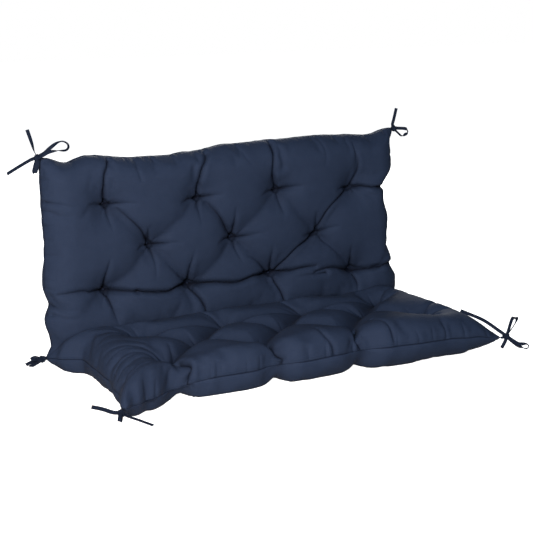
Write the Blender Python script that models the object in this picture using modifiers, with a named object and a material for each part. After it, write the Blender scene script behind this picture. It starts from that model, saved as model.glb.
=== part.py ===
"""Bench cushion: one long tufted cushion, folded at a sewn channel into a seat that lies flat and a back
that stands up, with tapes tied in a bow at the four corners and at both ends of the fold.

Metres, +Z up, the front towards -Y. Every place is first worked out with y = 0 on the fold and x = 0 in
the middle of the width, and ORIGIN then moves it to the middle of the floor space that the cushion takes.
"""

import math

import bmesh
import bpy
from mathutils import Matrix, Vector

# Driving dimensions: the runs are from the fold to the front and to the top, the fills are the height of a
# puff over the middle layer, and the other heights are those of the middle layer. Under the seat the weight
# presses the puffs flat, so there the valleys keep only a share of their depth and the shoulders are longer
WIDTH = 1.20
SEAT_RUN = 0.525
BACK_RUN = 0.555
SEAT_FILL = 0.069
BACK_FILL = 0.057
UNDER_FILL = 0.080
UNDER_VALLEY = 0.5
UNDER_REACH = 1.3
CHANNEL_HALF = 0.004
MIDDLE_HEIGHT = 0.056
FOLD_HEIGHT = 0.030
FOLD_SPREAD = 0.050
SIDE_DROP = 0.010
TOP_SINK = 0.011
BACK_LEAN = 0.025
BACK_CURVE = 1.5

# A tuft: half the thickness that it leaves, how far its pull reaches and how sharply it falls off
TUFT_HALF = 0.013
TUFT_REACH = 0.046
TUFT_SHARPNESS = 1.15

# How close to a rim the seam's drawing in starts to show: a higher power keeps it nearer to the rim
SIDE_POWER = 5
END_POWER = 4

# The deepest share of a puff that a fold in the cloth may cut, and how round the crease at the channel is
DEEPEST_FOLD = 0.75
CREASE_ROUNDING = 0.003
CREASE_FILL = 0.020

# The tapes: a neck is the pinched tape between the seam and the knot
TAPE_WIDTH = 0.010
TAPE_THICKNESS = 0.0015
TAPE_SMOOTHING = 2
KNOT_RADIUS = 0.0085
KNOT_SEGMENTS = 12
KNOT_RINGS = 8
NECK_WIDTH = 0.005
SEAM_GAP = 0.0004

# The middle of the floor space, from the middle of the fold
ORIGIN = Vector((0.0, -0.2614, 0.0))

# How far in from each rim the filling reaches its full height
SEAT_SIDE_SHOULDER = 0.115
BACK_SIDE_SHOULDER = 0.085
END_SHOULDER = 0.075
FOLD_SHOULDER = 0.070

# Tufts: across and along are the even places of the pattern, measured from the middle and from the fold,
# and the shifts are how far each one lies off its even place
TUFTS = [
    # across, along, shift_across, shift_along
    (-0.410, 0.400, -0.003, 0.007),
    (-0.135, 0.400, 0.012, 0.002),
    (0.135, 0.400, 0.010, -0.002),
    (0.410, 0.400, 0.008, -0.018),
    (-0.275, 0.270, -0.007, 0.004),
    (0.000, 0.270, -0.010, -0.006),
    (0.275, 0.270, 0.008, -0.020),
    (-0.410, 0.140, -0.015, 0.014),
    (-0.135, 0.140, -0.021, -0.002),
    (0.135, 0.140, -0.014, -0.005),
    (0.410, 0.140, 0.010, -0.024),
    (-0.410, -0.140, 0.036, 0.010),
    (-0.135, -0.140, 0.034, 0.002),
    (0.135, -0.140, 0.036, 0.000),
    (0.410, -0.140, 0.024, 0.000),
    (-0.275, -0.262, 0.026, 0.012),
    (0.000, -0.262, 0.026, 0.010),
    (0.275, -0.262, 0.036, 0.012),
    (-0.410, -0.385, 0.014, 0.012),
    (-0.135, -0.385, 0.018, 0.012),
    (0.135, -0.385, 0.030, 0.012),
    (0.410, -0.385, 0.020, 0.010),
]
SHIFT_REACH = 0.085

# How far the seam is drawn in from the straight edge, at places along that edge
FRONT_EDGE = [
    # across, drawn_in, seam_height
    (-0.600, 0.000, 0.046),
    (-0.500, 0.058, 0.052),
    (-0.410, 0.104, 0.058),
    (-0.320, 0.078, 0.058),
    (-0.200, 0.066, 0.058),
    (-0.130, 0.078, 0.060),
    (-0.050, 0.044, 0.062),
    (0.050, 0.036, 0.064),
    (0.145, 0.052, 0.068),
    (0.220, 0.012, 0.064),
    (0.330, 0.000, 0.062),
    (0.410, 0.004, 0.058),
    (0.500, 0.000, 0.050),
    (0.600, 0.000, 0.042),
]
TOP_EDGE = [
    # across, drawn_in
    (-0.600, 0.009),
    (-0.514, 0.026),
    (-0.450, 0.014),
    (-0.300, 0.026),
    (-0.200, 0.028),
    (-0.135, 0.024),
    (0.000, 0.010),
    (0.135, 0.008),
    (0.300, 0.004),
    (0.410, 0.008),
    (0.490, 0.014),
    (0.600, 0.000),
]
LEFT_EDGE = [
    # along, drawn_in
    (-0.525, 0.000),
    (-0.400, 0.036),
    (-0.300, 0.056),
    (-0.200, 0.062),
    (-0.105, 0.068),
    (-0.050, 0.016),
    (0.000, 0.000),
    (0.025, 0.016),
    (0.090, 0.004),
    (0.132, 0.026),
    (0.180, 0.004),
    (0.320, 0.012),
    (0.430, 0.012),
    (0.555, 0.014),
]
RIGHT_EDGE = [
    # along, drawn_in
    (-0.525, 0.000),
    (-0.400, 0.030),
    (-0.300, 0.044),
    (-0.200, 0.046),
    (-0.090, 0.040),
    (-0.030, 0.018),
    (0.000, 0.000),
    (0.075, 0.014),
    (0.120, 0.030),
    (0.200, 0.042),
    (0.270, 0.040),
    (0.340, 0.056),
    (0.375, 0.058),
    (0.440, 0.032),
    (0.500, 0.036),
    (0.555, 0.006),
]

# Valleys that run from tuft to tuft between the puffs: from and to are rows of TUFTS
VALLEYS = [
    # tuft_from, tuft_to, depth, half_width
    (0, 4, 0.010, 0.030),
    (4, 1, 0.008, 0.030),
    (1, 5, 0.010, 0.030),
    (5, 2, 0.008, 0.030),
    (2, 6, 0.008, 0.030),
    (6, 3, 0.010, 0.030),
    (4, 7, 0.010, 0.030),
    (4, 8, 0.010, 0.030),
    (5, 8, 0.010, 0.030),
    (5, 9, 0.010, 0.030),
    (6, 9, 0.012, 0.030),
    (6, 10, 0.010, 0.030),
    (11, 15, 0.022, 0.032),
    (15, 12, 0.022, 0.032),
    (12, 16, 0.022, 0.032),
    (16, 13, 0.022, 0.032),
    (13, 17, 0.022, 0.032),
    (17, 14, 0.022, 0.032),
    (15, 18, 0.022, 0.032),
    (15, 19, 0.022, 0.032),
    (16, 19, 0.022, 0.032),
    (16, 20, 0.022, 0.032),
    (17, 20, 0.022, 0.032),
    (17, 21, 0.018, 0.032),
]

# Folds that show from a step away, as troughs in the upper side of the cloth
TROUGHS = [
    # across_from, along_from, across_to, along_to, depth, half_width, bow
    (-0.580, 0.140, 0.580, 0.140, 0.022, 0.013, 0.000),
    (-0.410, 0.400, -0.405, 0.540, 0.014, 0.012, 0.012),
    (-0.135, 0.400, -0.130, 0.540, 0.014, 0.012, 0.016),
    (0.135, 0.400, 0.120, 0.540, 0.014, 0.012, 0.012),
    (0.410, 0.400, 0.425, 0.520, 0.010, 0.012, 0.000),
    (-0.410, 0.400, -0.275, 0.270, 0.006, 0.014, 0.018),
    (-0.135, 0.400, 0.000, 0.270, 0.006, 0.014, 0.018),
    (0.410, 0.400, 0.275, 0.270, 0.006, 0.014, -0.018),
    (0.275, 0.270, 0.135, 0.140, 0.008, 0.014, -0.012),
    (0.275, 0.270, 0.410, 0.140, 0.006, 0.014, 0.012),
    (0.410, 0.400, 0.590, 0.390, 0.008, 0.012, 0.000),
    (-0.410, 0.400, -0.590, 0.390, 0.004, 0.012, 0.000),
    (-0.410, -0.385, -0.410, -0.525, 0.026, 0.011, 0.000),
    (-0.135, -0.385, -0.135, -0.525, 0.026, 0.011, 0.000),
    (0.135, -0.385, 0.135, -0.525, 0.024, 0.011, 0.000),
    (0.410, -0.385, 0.410, -0.525, 0.010, 0.012, 0.000),
    (-0.410, -0.385, -0.590, -0.330, 0.008, 0.014, 0.000),
    (-0.410, -0.140, -0.590, -0.180, 0.008, 0.014, 0.000),
]

# The ties are laid out as they show from the front left: their places are in millimetres to the right, up
# and away, in a view that is turned round the cushion by VIEW_TURN and tipped down by VIEW_RISE
VIEW_TURN = math.radians(-30.7)
VIEW_RISE = math.radians(13.4)
FOLD_TIE_RUNS = [
    ("tail", ["right", "right"], [(-4, -1, 0), (-16, -3, 10), (-34, -14, 22)]),
    ("tail", ["right", "right"], [(-1, -4, 0), (-10, -9, 12), (-24, -16, 26)]),
    (
        "loop",
        ["up", "up"],
        [(-4, 3, -2), (-14, 6, -8), (-22, 3, -12), (-24, 1, -17), (-16, 2, -18), (-4, 0, -4)],
    ),
    (
        "loop",
        ["away", "away"],
        [(0, 4, -2), (3, 10, -2), (9, 15, 0), (15, 12, 3), (14, 5, 3), (4, 0, 1)],
    ),
]
TIES = [
    # name, corner across, corner along, 1 or -1 where it is mirrored, knot from the corner, runs of tape
    (
        "tie_top_left",
        -0.600,
        0.555,
        1,
        (-2, -2, -13),
        [
            # kind, directions of the broad side along the tape, places along the tape
            ("tail", ["away", "right"], [(-1, 4, 2), (-9, 20, 3), (-16, 42, 6), (-28, 77, 4)]),
            ("tail", ["up", "up"], [(-4, 0, -2), (-20, -6, 0), (-50, -22, 8), (-84, -42, 14)]),
            (
                "loop",
                ["up", "away", "away", "away", "up"],
                [
                    (4, 4, -2),
                    (20, 14, 2),
                    (34, 27, 2),
                    (52, 40, 0),
                    (68, 45, 0),
                    (81, 39, 0),
                    (84, 29, 0),
                    (76, 21, 0),
                    (56, 20, -2),
                    (34, 16, -6),
                    (18, 7, -9),
                    (4, 0, -6),
                ],
            ),
            (
                "loop",
                ["right", "right"],
                [(-1, -4, -1), (-3, -20, -4), (-6, -36, -6), (-4, -39, -9), (0, -22, -11), (1, -4, -6)],
            ),
        ],
    ),
    (
        "tie_top_right",
        0.600,
        0.555,
        1,
        (5, -6, -17),
        [
            ("tail", ["away", "right"], [(-1, 4, 2), (-4, 14, 3), (0, 30, 3), (8, 65, 2)]),
            (
                "loop",
                ["up", "up", "away", "up", "away", "away"],
                [
                    (4, 1, -2),
                    (18, 1, -2),
                    (36, 0, 0),
                    (42, -4, 2),
                    (44, -12, 4),
                    (36, -18, 5),
                    (26, -23, 4),
                    (14, -14, 0),
                    (3, -4, -4),
                ],
            ),
        ],
    ),
    (
        "tie_front_left",
        -0.600,
        -0.525,
        1,
        (-5, -8, -3),
        [
            ("tail", ["away", "away", "up"], [(-4, 0, 1), (-22, 0, 10), (-50, 5, 34), (-80, 8, 56)]),
            ("tail", ["away", "away"], [(4, -2, -1), (18, -8, -8), (46, -16, -18), (80, -27, -26)]),
            (
                "loop",
                ["right", "right"],
                [
                    (-2, 1, -4),
                    (-1, -1, -16),
                    (0, -10, -34),
                    (0, -15, -37),
                    (1, -16, -32),
                    (1, -8, -14),
                    (1, -3, -4),
                ],
            ),
        ],
    ),
    (
        "tie_front_right",
        0.600,
        -0.525,
        1,
        (14, 4, -3),
        [
            ("tail", ["up", "up"], [(-3, 3, 2), (-20, 16, 12), (-62, 46, 38), (-122, 72, 72)]),
            ("tail", ["right", "right"], [(-1, -4, -2), (-4, -14, -4), (-15, -34, -6)]),
            (
                "loop",
                ["away", "right", "right", "away", "away"],
                [
                    (1, 4, -3),
                    (5, 18, -6),
                    (10, 36, -8),
                    (16, 51, -6),
                    (24, 55, 1),
                    (32, 51, 7),
                    (27, 37, 9),
                    (13, 16, 7),
                    (3, 4, 3),
                ],
            ),
            (
                "loop",
                ["up", "up", "away", "away", "up", "up"],
                [
                    (4, -2, -4),
                    (18, -12, -6),
                    (34, -21, -5),
                    (46, -22, -2),
                    (58, -22, 0),
                    (65, -29, 0),
                    (58, -36, 0),
                    (46, -32, 2),
                    (34, -27, 5),
                    (18, -15, 6),
                    (4, -4, 4),
                ],
            ),
        ],
    ),
    ("tie_fold_left", -0.600, 0.000, 1, (-19, -3, -2), FOLD_TIE_RUNS),
    ("tie_fold_right", 0.600, 0.000, -1, (-19, -3, -2), FOLD_TIE_RUNS),
]

# Lines of the net that the cushion is modelled on: it is finer next to a key line, where the cloth is
# pulled down, than in the middle of a puff
KEY_ACROSS = [-0.600, -0.410, -0.275, -0.135, 0.000, 0.135, 0.275, 0.410, 0.600]
KEY_ALONG = [-0.525, -0.385, -0.262, -0.140, 0.000, 0.140, 0.270, 0.400, 0.555]
STEPS_ACROSS = [8, 5, 5, 5, 5, 5, 5, 8]
STEPS_ALONG = [6, 4, 4, 6, 6, 4, 4, 6]
NET_EASE = 0.55

NAVY = (0.022, 0.030, 0.062, 1.0)
TAPE_NAVY = (0.016, 0.026, 0.060, 1.0)


def clear_scene():
    for thing in list(bpy.data.objects):
        bpy.data.objects.remove(thing, do_unlink=True)


def new_collection(name):
    collection = bpy.data.collections.new(name)
    bpy.context.scene.collection.children.link(collection)
    return collection


def new_material(name, colour, roughness):
    material = bpy.data.materials.new(name)
    material.use_nodes = True
    shader = material.node_tree.nodes["Principled BSDF"]
    shader.inputs["Base Color"].default_value = colour
    shader.inputs["Roughness"].default_value = roughness
    shader.inputs["Metallic"].default_value = 0.0
    material.diffuse_color = colour
    return material


def eased(table, column, place):
    """Column of the table at a place along its first column, eased from row to row."""
    for low, high in zip(table, table[1:]):
        if place <= high[0]:
            share = max(0.0, (place - low[0]) / (high[0] - low[0]))
            share = share * share * (3 - 2 * share)
            return low[column] + (high[column] - low[column]) * share
    return table[-1][column]


def shoulder(distance, reach):
    """Quarter of an ellipse: 0 at the rim, 1 from reach inwards."""
    share = min(1.0, max(0.0, distance / reach))
    return math.sqrt(share * (2 - share))


def rounded_min(first, second, softness):
    """The smaller of two values, with the corner between them rounded off."""
    middle = (first + second) / 2
    return middle - math.sqrt((first - second) ** 2 / 4 + softness**2)


def shifted(across, along):
    """Moves an even place of the pattern by the shifts of the tufts around it."""
    moved = [across, along]
    for tuft_across, tuft_along, shift_across, shift_along in TUFTS:
        distance = math.hypot(across - tuft_across, along - tuft_along)
        weight = math.exp(-((distance / SHIFT_REACH) ** 2))
        moved[0] += weight * shift_across
        moved[1] += weight * shift_along
    return moved


def tuft_pull(across, along):
    """1 at a tuft, falling to 0 away from it like cloth that is held down at one point."""
    left = 1.0
    for tuft_across, tuft_along, _, _ in TUFTS:
        distance = math.hypot(across - tuft_across, along - tuft_along)
        left *= 1 - math.exp(-((distance / TUFT_REACH) ** TUFT_SHARPNESS))
    return 1 - left


def distance_to_run(point, start, end, bow):
    """Distance from a place of the pattern to the line from start to end, which is bowed out sideways."""
    run = end - start
    share = min(1.0, max(0.0, (point - start).dot(run) / run.length_squared))
    sideways = Vector((-run.y, run.x)).normalized() * bow * math.sin(math.pi * share)
    return (point - start - run * share - sideways).length


def valley_depth(across, along):
    """How far the cloth sinks between two puffs, on both sides of the cushion."""
    deepest = 0.0
    point = Vector((across, along))
    for tuft_from, tuft_to, depth, half_width in VALLEYS:
        start, end = Vector(TUFTS[tuft_from][:2]), Vector(TUFTS[tuft_to][:2])
        distance = distance_to_run(point, start, end, 0.0)
        deepest = max(deepest, depth * math.exp(-((distance / half_width) ** 2)))
    return deepest


def trough_depth(across, along):
    """How deep the folds cut into the upper side."""
    deepest = 0.0
    point = Vector((across, along))
    for from_across, from_along, to_across, to_along, depth, half_width, bow in TROUGHS:
        start, end = Vector((from_across, from_along)), Vector((to_across, to_along))
        distance = distance_to_run(point, start, end, bow)
        deepest = max(deepest, depth * math.exp(-((distance / half_width) ** 2)))
    return deepest


def fill(across, along, full, valley_share=1.0, reach_share=1.0):
    """Height of one side of the filled cushion over its middle, with no folds in it."""
    side_reach = SEAT_SIDE_SHOULDER if along < 0 else BACK_SIDE_SHOULDER
    side = shoulder(WIDTH / 2 - abs(across), side_reach * reach_share)
    run = SEAT_RUN if along < 0 else BACK_RUN
    end = shoulder(run - abs(along), END_SHOULDER * reach_share)
    channel = shoulder(abs(along), FOLD_SHOULDER)
    puffed = full - valley_depth(across, along) * valley_share
    puffed -= (puffed - TUFT_HALF) * tuft_pull(across, along)
    return side * end * (CHANNEL_HALF + (puffed - CHANNEL_HALF) * channel)


def middle_layer(across, along):
    """Place half way through the cushion's thickness, with the seams drawn in."""
    x, run = shifted(across, along)
    edge = LEFT_EDGE if across < 0 else RIGHT_EDGE
    near_side = (abs(across) / (WIDTH / 2)) ** SIDE_POWER
    x -= math.copysign(eased(edge, 1, along) * near_side, across)
    if along < 0:
        near_front = (abs(along) / SEAT_RUN) ** END_POWER
        y = run + eased(FRONT_EDGE, 1, across) * near_front
        edge_height = eased(FRONT_EDGE, 2, across)
        rise = MIDDLE_HEIGHT * (1 - near_front) + edge_height * near_front
        at_fold = math.exp(-abs(along) / FOLD_SPREAD) * near_side
        corner_drop = near_side * (1 - near_front) * (1 - at_fold) * SIDE_DROP
        return Vector((x, y, rise + (FOLD_HEIGHT - rise) * at_fold - corner_drop))
    near_top = (along / BACK_RUN) ** END_POWER
    z = MIDDLE_HEIGHT + (run - eased(TOP_EDGE, 1, across) * near_top)
    z -= (MIDDLE_HEIGHT - FOLD_HEIGHT) * near_side * math.exp(-along / FOLD_SPREAD)
    z -= TOP_SINK * (along / BACK_RUN)
    return Vector((x, BACK_LEAN * (along / BACK_RUN) ** BACK_CURVE, z))


def upper_side(across, along):
    """Place on the side for sitting on and leaning against, which meets itself in a crease at the fold."""
    half = fill(across, along, SEAT_FILL if along < 0 else BACK_FILL)
    rim = shoulder(WIDTH / 2 - abs(across), BACK_SIDE_SHOULDER)
    rounding = CREASE_ROUNDING * min(1, half / CREASE_FILL)
    half -= min(trough_depth(across, along), half * DEEPEST_FOLD)
    half = rounded_min(half, abs(along) + CHANNEL_HALF * rim, rounding)
    towards = Vector((0, 0, 1)) if along < 0 else Vector((0, -1, 0))
    if along == 0:
        towards = Vector((0, -1, 1)).normalized()
    return middle_layer(across, along) + towards * max(half, 0.0)


def under_side(across, along):
    """Place on the side that lies on the floor, or that faces backwards."""
    middle = middle_layer(across, along)
    if along < 0:
        half = fill(across, along, UNDER_FILL, UNDER_VALLEY, UNDER_REACH)
        return Vector((middle.x, middle.y, max(0.0, middle.z - half)))
    half = fill(across, along, BACK_FILL)
    if along == 0:
        return middle + Vector((0, 1, -1)).normalized() * half
    return middle + Vector((0, half, 0))


def net_lines(keys, steps):
    """Places of the net's lines: each gap between two keys is cut in steps that are finer at both ends."""
    lines = []
    for low, high, count in zip(keys, keys[1:], steps):
        for step in range(count):
            share = step / count
            eased_share = (1 - math.cos(math.pi * share)) / 2
            share += (eased_share - share) * NET_EASE
            lines.append(low + (high - low) * share)
    return lines + [keys[-1]]


def add_cushion(collection, material):
    """Two nets, one for each side, joined along the rim into one closed filled body.

    The cell at each corner is cut from its tip inwards, so that both sides keep their own face up to the tip.
    """
    lines_across = net_lines(KEY_ACROSS, STEPS_ACROSS)
    lines_along = net_lines(KEY_ALONG, STEPS_ALONG)
    cells_across = len(lines_across) - 1
    cells_along = len(lines_along) - 1
    body = bmesh.new()
    for place, upper in ((upper_side, True), (under_side, False)):
        net = bmesh.ops.create_grid(body, x_segments=cells_across, y_segments=cells_along, size=0.5)
        at = {}
        for vert in net["verts"]:
            column = round((vert.co.x + 0.5) * cells_across)
            row = round((vert.co.y + 0.5) * cells_along)
            at[column, row] = vert
            on_rim = column in (0, cells_across) or row in (0, cells_along)
            if on_rim:
                vert.co = middle_layer(lines_across[column], lines_along[row])
            else:
                vert.co = place(lines_across[column], lines_along[row])
        for column, inner_column in ((0, 1), (cells_across, cells_across - 1)):
            for row, inner_row in ((0, 1), (cells_along, cells_along - 1)):
                tip_and_inner = [at[column, row], at[inner_column, inner_row]]
                bmesh.ops.connect_verts(body, verts=tip_and_inner)
        if not upper:
            own = set(net["verts"])
            bmesh.ops.reverse_faces(body, faces=[f for f in body.faces if f.verts[0] in own])
    bmesh.ops.remove_doubles(body, verts=body.verts, dist=1e-6)
    mesh = bpy.data.meshes.new("cushion")
    body.to_mesh(mesh)
    body.free()
    mesh.shade_smooth()
    mesh.transform(Matrix.Translation(-ORIGIN))
    cushion = bpy.data.objects.new("cushion", mesh)
    cushion.data.materials.append(material)
    collection.objects.link(cushion)
    return cushion


def seen_axes():
    """The directions right, up and away of someone who looks at the cushion from the front left."""
    right = Vector((math.cos(VIEW_TURN), math.sin(VIEW_TURN), 0))
    level = Vector((-math.sin(VIEW_TURN), math.cos(VIEW_TURN), 0))
    away = level * math.cos(VIEW_RISE) - Vector((0, 0, math.sin(VIEW_RISE)))
    return {"right": right, "up": right.cross(away), "away": away}


def as_seen(place, axes):
    """A place in millimetres right, up and away, as an offset in metres."""
    return (axes["right"] * place[0] + axes["up"] * place[1] + axes["away"] * place[2]) / 1000


def smooth_run(points, steps):
    """Places on the even curve through the points, with a number of steps from each point to the next."""
    ends = [points[0] * 2 - points[1], *points, points[-1] * 2 - points[-2]]
    places = []
    for before, start, end, after in zip(ends, ends[1:], ends[2:], ends[3:]):
        for step in range(steps):
            t = step / steps
            places.append(
                (
                    start * 2
                    + (end - before) * t
                    + (before * 2 - start * 5 + end * 4 - after) * t**2
                    + (start * 3 - before - end * 3 + after) * t**3
                )
                / 2
            )
    return [*places, points[-1]]


def add_tape(name, collection, places, broad_sides, width):
    """A flat tape along the places: a strip of faces that Solidify gives its thickness."""
    strip = bmesh.new()
    verts = [strip.verts.new(place) for place in places]
    edges = [strip.edges.new(pair) for pair in zip(verts, verts[1:])]
    grown = bmesh.ops.extrude_edge_only(strip, edges=edges)["geom"]
    far_side = [part for part in grown if isinstance(part, bmesh.types.BMVert)]
    far_side.sort(key=lambda vert: min(range(len(verts)), key=lambda i: (verts[i].co - vert.co).length))
    for index, (near, far) in enumerate(zip(verts, far_side)):
        ahead = places[min(index + 1, len(places) - 1)]
        behind = places[max(index - 1, 0)]
        along = (ahead - behind).normalized()
        part_way = index / (len(places) - 1) * (len(broad_sides) - 1)
        passed = min(int(part_way), len(broad_sides) - 2)
        broad = broad_sides[passed].lerp(broad_sides[passed + 1], part_way - passed)
        broad = (broad - along * broad.dot(along)).normalized() * width
        near.co -= broad / 2
        far.co += broad / 2
    mesh = bpy.data.meshes.new(name)
    strip.to_mesh(mesh)
    strip.free()
    tape = bpy.data.objects.new(name, mesh)
    collection.objects.link(tape)
    solid = tape.modifiers.new("thickness", "SOLIDIFY")
    solid.thickness = TAPE_THICKNESS
    solid.offset = 0
    tape.hide_render = True
    tape.display_type = "WIRE"
    return tape


def add_knot(name, collection, centre, material):
    """The round knot of a bow, as one ball."""
    ball = bmesh.new()
    bmesh.ops.create_uvsphere(ball, u_segments=KNOT_SEGMENTS, v_segments=KNOT_RINGS, radius=KNOT_RADIUS)
    bmesh.ops.translate(ball, verts=ball.verts, vec=centre)
    mesh = bpy.data.meshes.new(name)
    ball.to_mesh(mesh)
    ball.free()
    mesh.materials.append(material)
    knot = bpy.data.objects.new(name, mesh)
    collection.objects.link(knot)
    return knot


def neck_run(corner, centre, across, along):
    """The pinched tape from the seam to the knot: its places, and the direction of its broad side."""
    outward = Vector((math.copysign(1, across), 0, 0))
    plane = Vector((0, 0, 1))
    if along < 0:
        outward.y = -1
    elif along > 0:
        outward.z = 1
        plane = Vector((0, 1, 0))
    outward.normalize()
    places = [centre, corner + outward * NECK_WIDTH, corner + outward * SEAM_GAP]
    return smooth_run(places, TAPE_SMOOTHING), outward.cross(plane)


def add_ties(collection, helpers, material):
    """Each bow is one solid: its knot, joined with the neck from the seam and with each tail and loop."""
    for name, across, along, mirror, knot_place, runs in TIES:
        axes = {key: axis * Vector((mirror, 1, 1)) for key, axis in seen_axes().items()}
        corner = middle_layer(across, along) - ORIGIN
        centre = corner + as_seen(knot_place, axes)
        tie = add_knot(name, collection, centre, material)
        places, broad = neck_run(corner, centre, across, along)
        tapes = [add_tape(name + "_neck", helpers, places, [broad, broad], NECK_WIDTH)]
        for number, (kind, broad_sides, from_knot) in enumerate(runs):
            places = smooth_run([centre + as_seen(place, axes) for place in from_knot], TAPE_SMOOTHING)
            sides = [axes[side] for side in broad_sides]
            tapes.append(add_tape(f"{name}_{kind}_{number}", helpers, places, sides, TAPE_WIDTH))
        for tape in tapes:
            joined = tie.modifiers.new("join_" + tape.name, "BOOLEAN")
            joined.operation = "UNION"
            joined.solver = "EXACT"
            joined.object = tape


def main():
    clear_scene()
    parts = new_collection("bench_cushion")
    helpers = new_collection("tape_helpers")
    cloth = new_material("navy_cloth", NAVY, 0.62)
    tape_cloth = new_material("navy_tape", TAPE_NAVY, 0.5)
    add_cushion(parts, cloth)
    add_ties(parts, helpers, tape_cloth)


main()
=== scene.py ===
# %% [markdown]
# # A tufted bench cushion, folded into a seat and a back
#
# The real thing is two long panels of navy woven polyester, sewn together along their rim, filled
# with loose fibre, and tacked through with thread at 22 places. One line of stitching across it
# lets it fold at a right angle. Tapes at the four corners and at both ends of the fold are tied in
# bows.
#
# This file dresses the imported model: it builds the cover and the bows again with a fine surface,
# lets the cloth swell in a simulation, and adds folds, stitches and finishes. Everything is in
# metres, with +Z up, apart from the tables that are in millimetres.

# %% Load the frame
import math

import bmesh
import bpy
import numpy as np
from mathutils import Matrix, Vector
from mathutils.bvhtree import BVHTree


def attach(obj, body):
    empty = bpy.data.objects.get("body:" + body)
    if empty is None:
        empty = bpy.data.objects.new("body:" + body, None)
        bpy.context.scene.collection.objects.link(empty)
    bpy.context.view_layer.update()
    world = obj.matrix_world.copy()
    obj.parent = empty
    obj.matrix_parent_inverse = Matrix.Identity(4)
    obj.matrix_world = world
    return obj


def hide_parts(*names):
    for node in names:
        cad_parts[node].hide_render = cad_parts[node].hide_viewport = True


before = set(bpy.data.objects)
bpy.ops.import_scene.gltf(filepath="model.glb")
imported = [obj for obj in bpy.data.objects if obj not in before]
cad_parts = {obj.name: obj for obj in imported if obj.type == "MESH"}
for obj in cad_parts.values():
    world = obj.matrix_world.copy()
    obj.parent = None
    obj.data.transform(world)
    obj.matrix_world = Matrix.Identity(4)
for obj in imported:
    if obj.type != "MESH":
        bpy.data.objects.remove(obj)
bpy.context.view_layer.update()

# Keeps divisions away from nought
TINY = 1e-9
print("nodes:", sorted(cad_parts))

# %% Two helpers for whatever is put into the scene


def add_to_scene(name, data):
    thing = bpy.data.objects.new(name, data)
    bpy.context.scene.collection.objects.link(thing)
    return thing


def add_smooth(name, net):
    """A bmesh as an object with smooth shading."""
    mesh = bpy.data.meshes.new(name)
    net.to_mesh(mesh)
    net.free()
    mesh.shade_smooth()
    return add_to_scene(name, mesh)


# %% [markdown]
# ## The camera
#
# The photograph shows the cushion from the front left, a little from above. The corners of the seat
# and the back give the place of a camera whose picture they fit, and the same numbers are used
# here. Working with the right camera from the start means that each later render can be laid over
# the photograph.

# %% Camera
CAMERA_TURN = math.radians(-30.72)
CAMERA_RISE = math.radians(13.41)
CAMERA_DISTANCE = 3.564
CAMERA_TARGET = Vector((0.0268, 0.1114, 0.2498))
LENS_MM = 83.04
SENSOR_MM = 36.0


def add_camera():
    level = math.cos(CAMERA_RISE)
    towards_camera = Vector(
        (math.sin(CAMERA_TURN) * level, -math.cos(CAMERA_TURN) * level, math.sin(CAMERA_RISE))
    )
    camera = add_to_scene("camera", bpy.data.cameras.new("camera"))
    camera.location = CAMERA_TARGET + towards_camera * CAMERA_DISTANCE
    camera.rotation_mode = "QUATERNION"
    camera.rotation_quaternion = (-towards_camera).to_track_quat("-Z", "Y")
    camera.data.lens = LENS_MM
    camera.data.sensor_width = SENSOR_MM
    bpy.context.scene.camera = camera
    return camera


camera = add_camera()
print("camera stands at", [round(value, 3) for value in camera.location])

# %% [markdown]
# ## The cut and the filling
#
# A place on the cover is given in pattern coordinates: how far across from the middle of the width,
# and how far along from the fold, with the seat on the minus side and the back on the plus side.
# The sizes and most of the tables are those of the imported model, so that the fine cover lies where
# the plain solid does. Names in capitals are sizes and settings that don't change; lengths are in
# metres and turns in radians.

# %% Sizes of the cut and the filling
WIDTH = 1.20
SEAT_RUN = 0.525
BACK_RUN = 0.555
SEAT_FILL = 0.069
BACK_FILL = 0.057
UNDER_FILL = 0.080
UNDER_VALLEY = 0.5
UNDER_REACH = 1.3
CHANNEL_HALF = 0.004
MIDDLE_HEIGHT = 0.056
FOLD_HEIGHT = 0.030
FOLD_SPREAD = 0.050
SIDE_DROP = 0.010
TOP_SINK = 0.011
BACK_LEAN = 0.025
BACK_CURVE = 1.5
TUFT_HALF = 0.013
TUFT_REACH = 0.046
TUFT_SHARPNESS = 1.15
SIDE_POWER = 5
END_POWER = 4
DEEPEST_FOLD = 0.75
CREASE_ROUNDING = 0.003
CREASE_FILL = 0.020
ORIGIN = np.array((0.0, -0.2614, 0.0))
SEAT_SIDE_SHOULDER = 0.115
BACK_SIDE_SHOULDER = 0.085
END_SHOULDER = 0.075
FOLD_SHOULDER = 0.070

# %% Tables of the tufts, the seams and the valleys, in millimetres


def in_metres(rows):
    return [tuple(value / 1000 for value in row) for row in rows]


# Each tuft's even place in the pattern, and how far it lies off that place: across, along,
# shift_across, shift_along
TUFTS = in_metres([
    (-410, 400, -3, 7), (-135, 400, 12, 2), (135, 400, 10, -2), (410, 400, 8, -18),
    (-275, 270, -7, 4), (0, 270, -10, -6), (275, 270, 8, -20), (-410, 140, -15, 14),
    (-135, 140, -21, -2), (135, 140, -14, -5), (410, 140, 10, -24), (-410, -140, 36, 10),
    (-135, -140, 34, 2), (135, -140, 36, 0), (410, -140, 24, 0), (-275, -262, 26, 12),
    (0, -262, 26, 10), (275, -262, 36, 12), (-410, -385, 14, 12), (-135, -385, 18, 12),
    (135, -385, 30, 12), (410, -385, 20, 10),
])
SHIFT_REACH = 0.085

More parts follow.
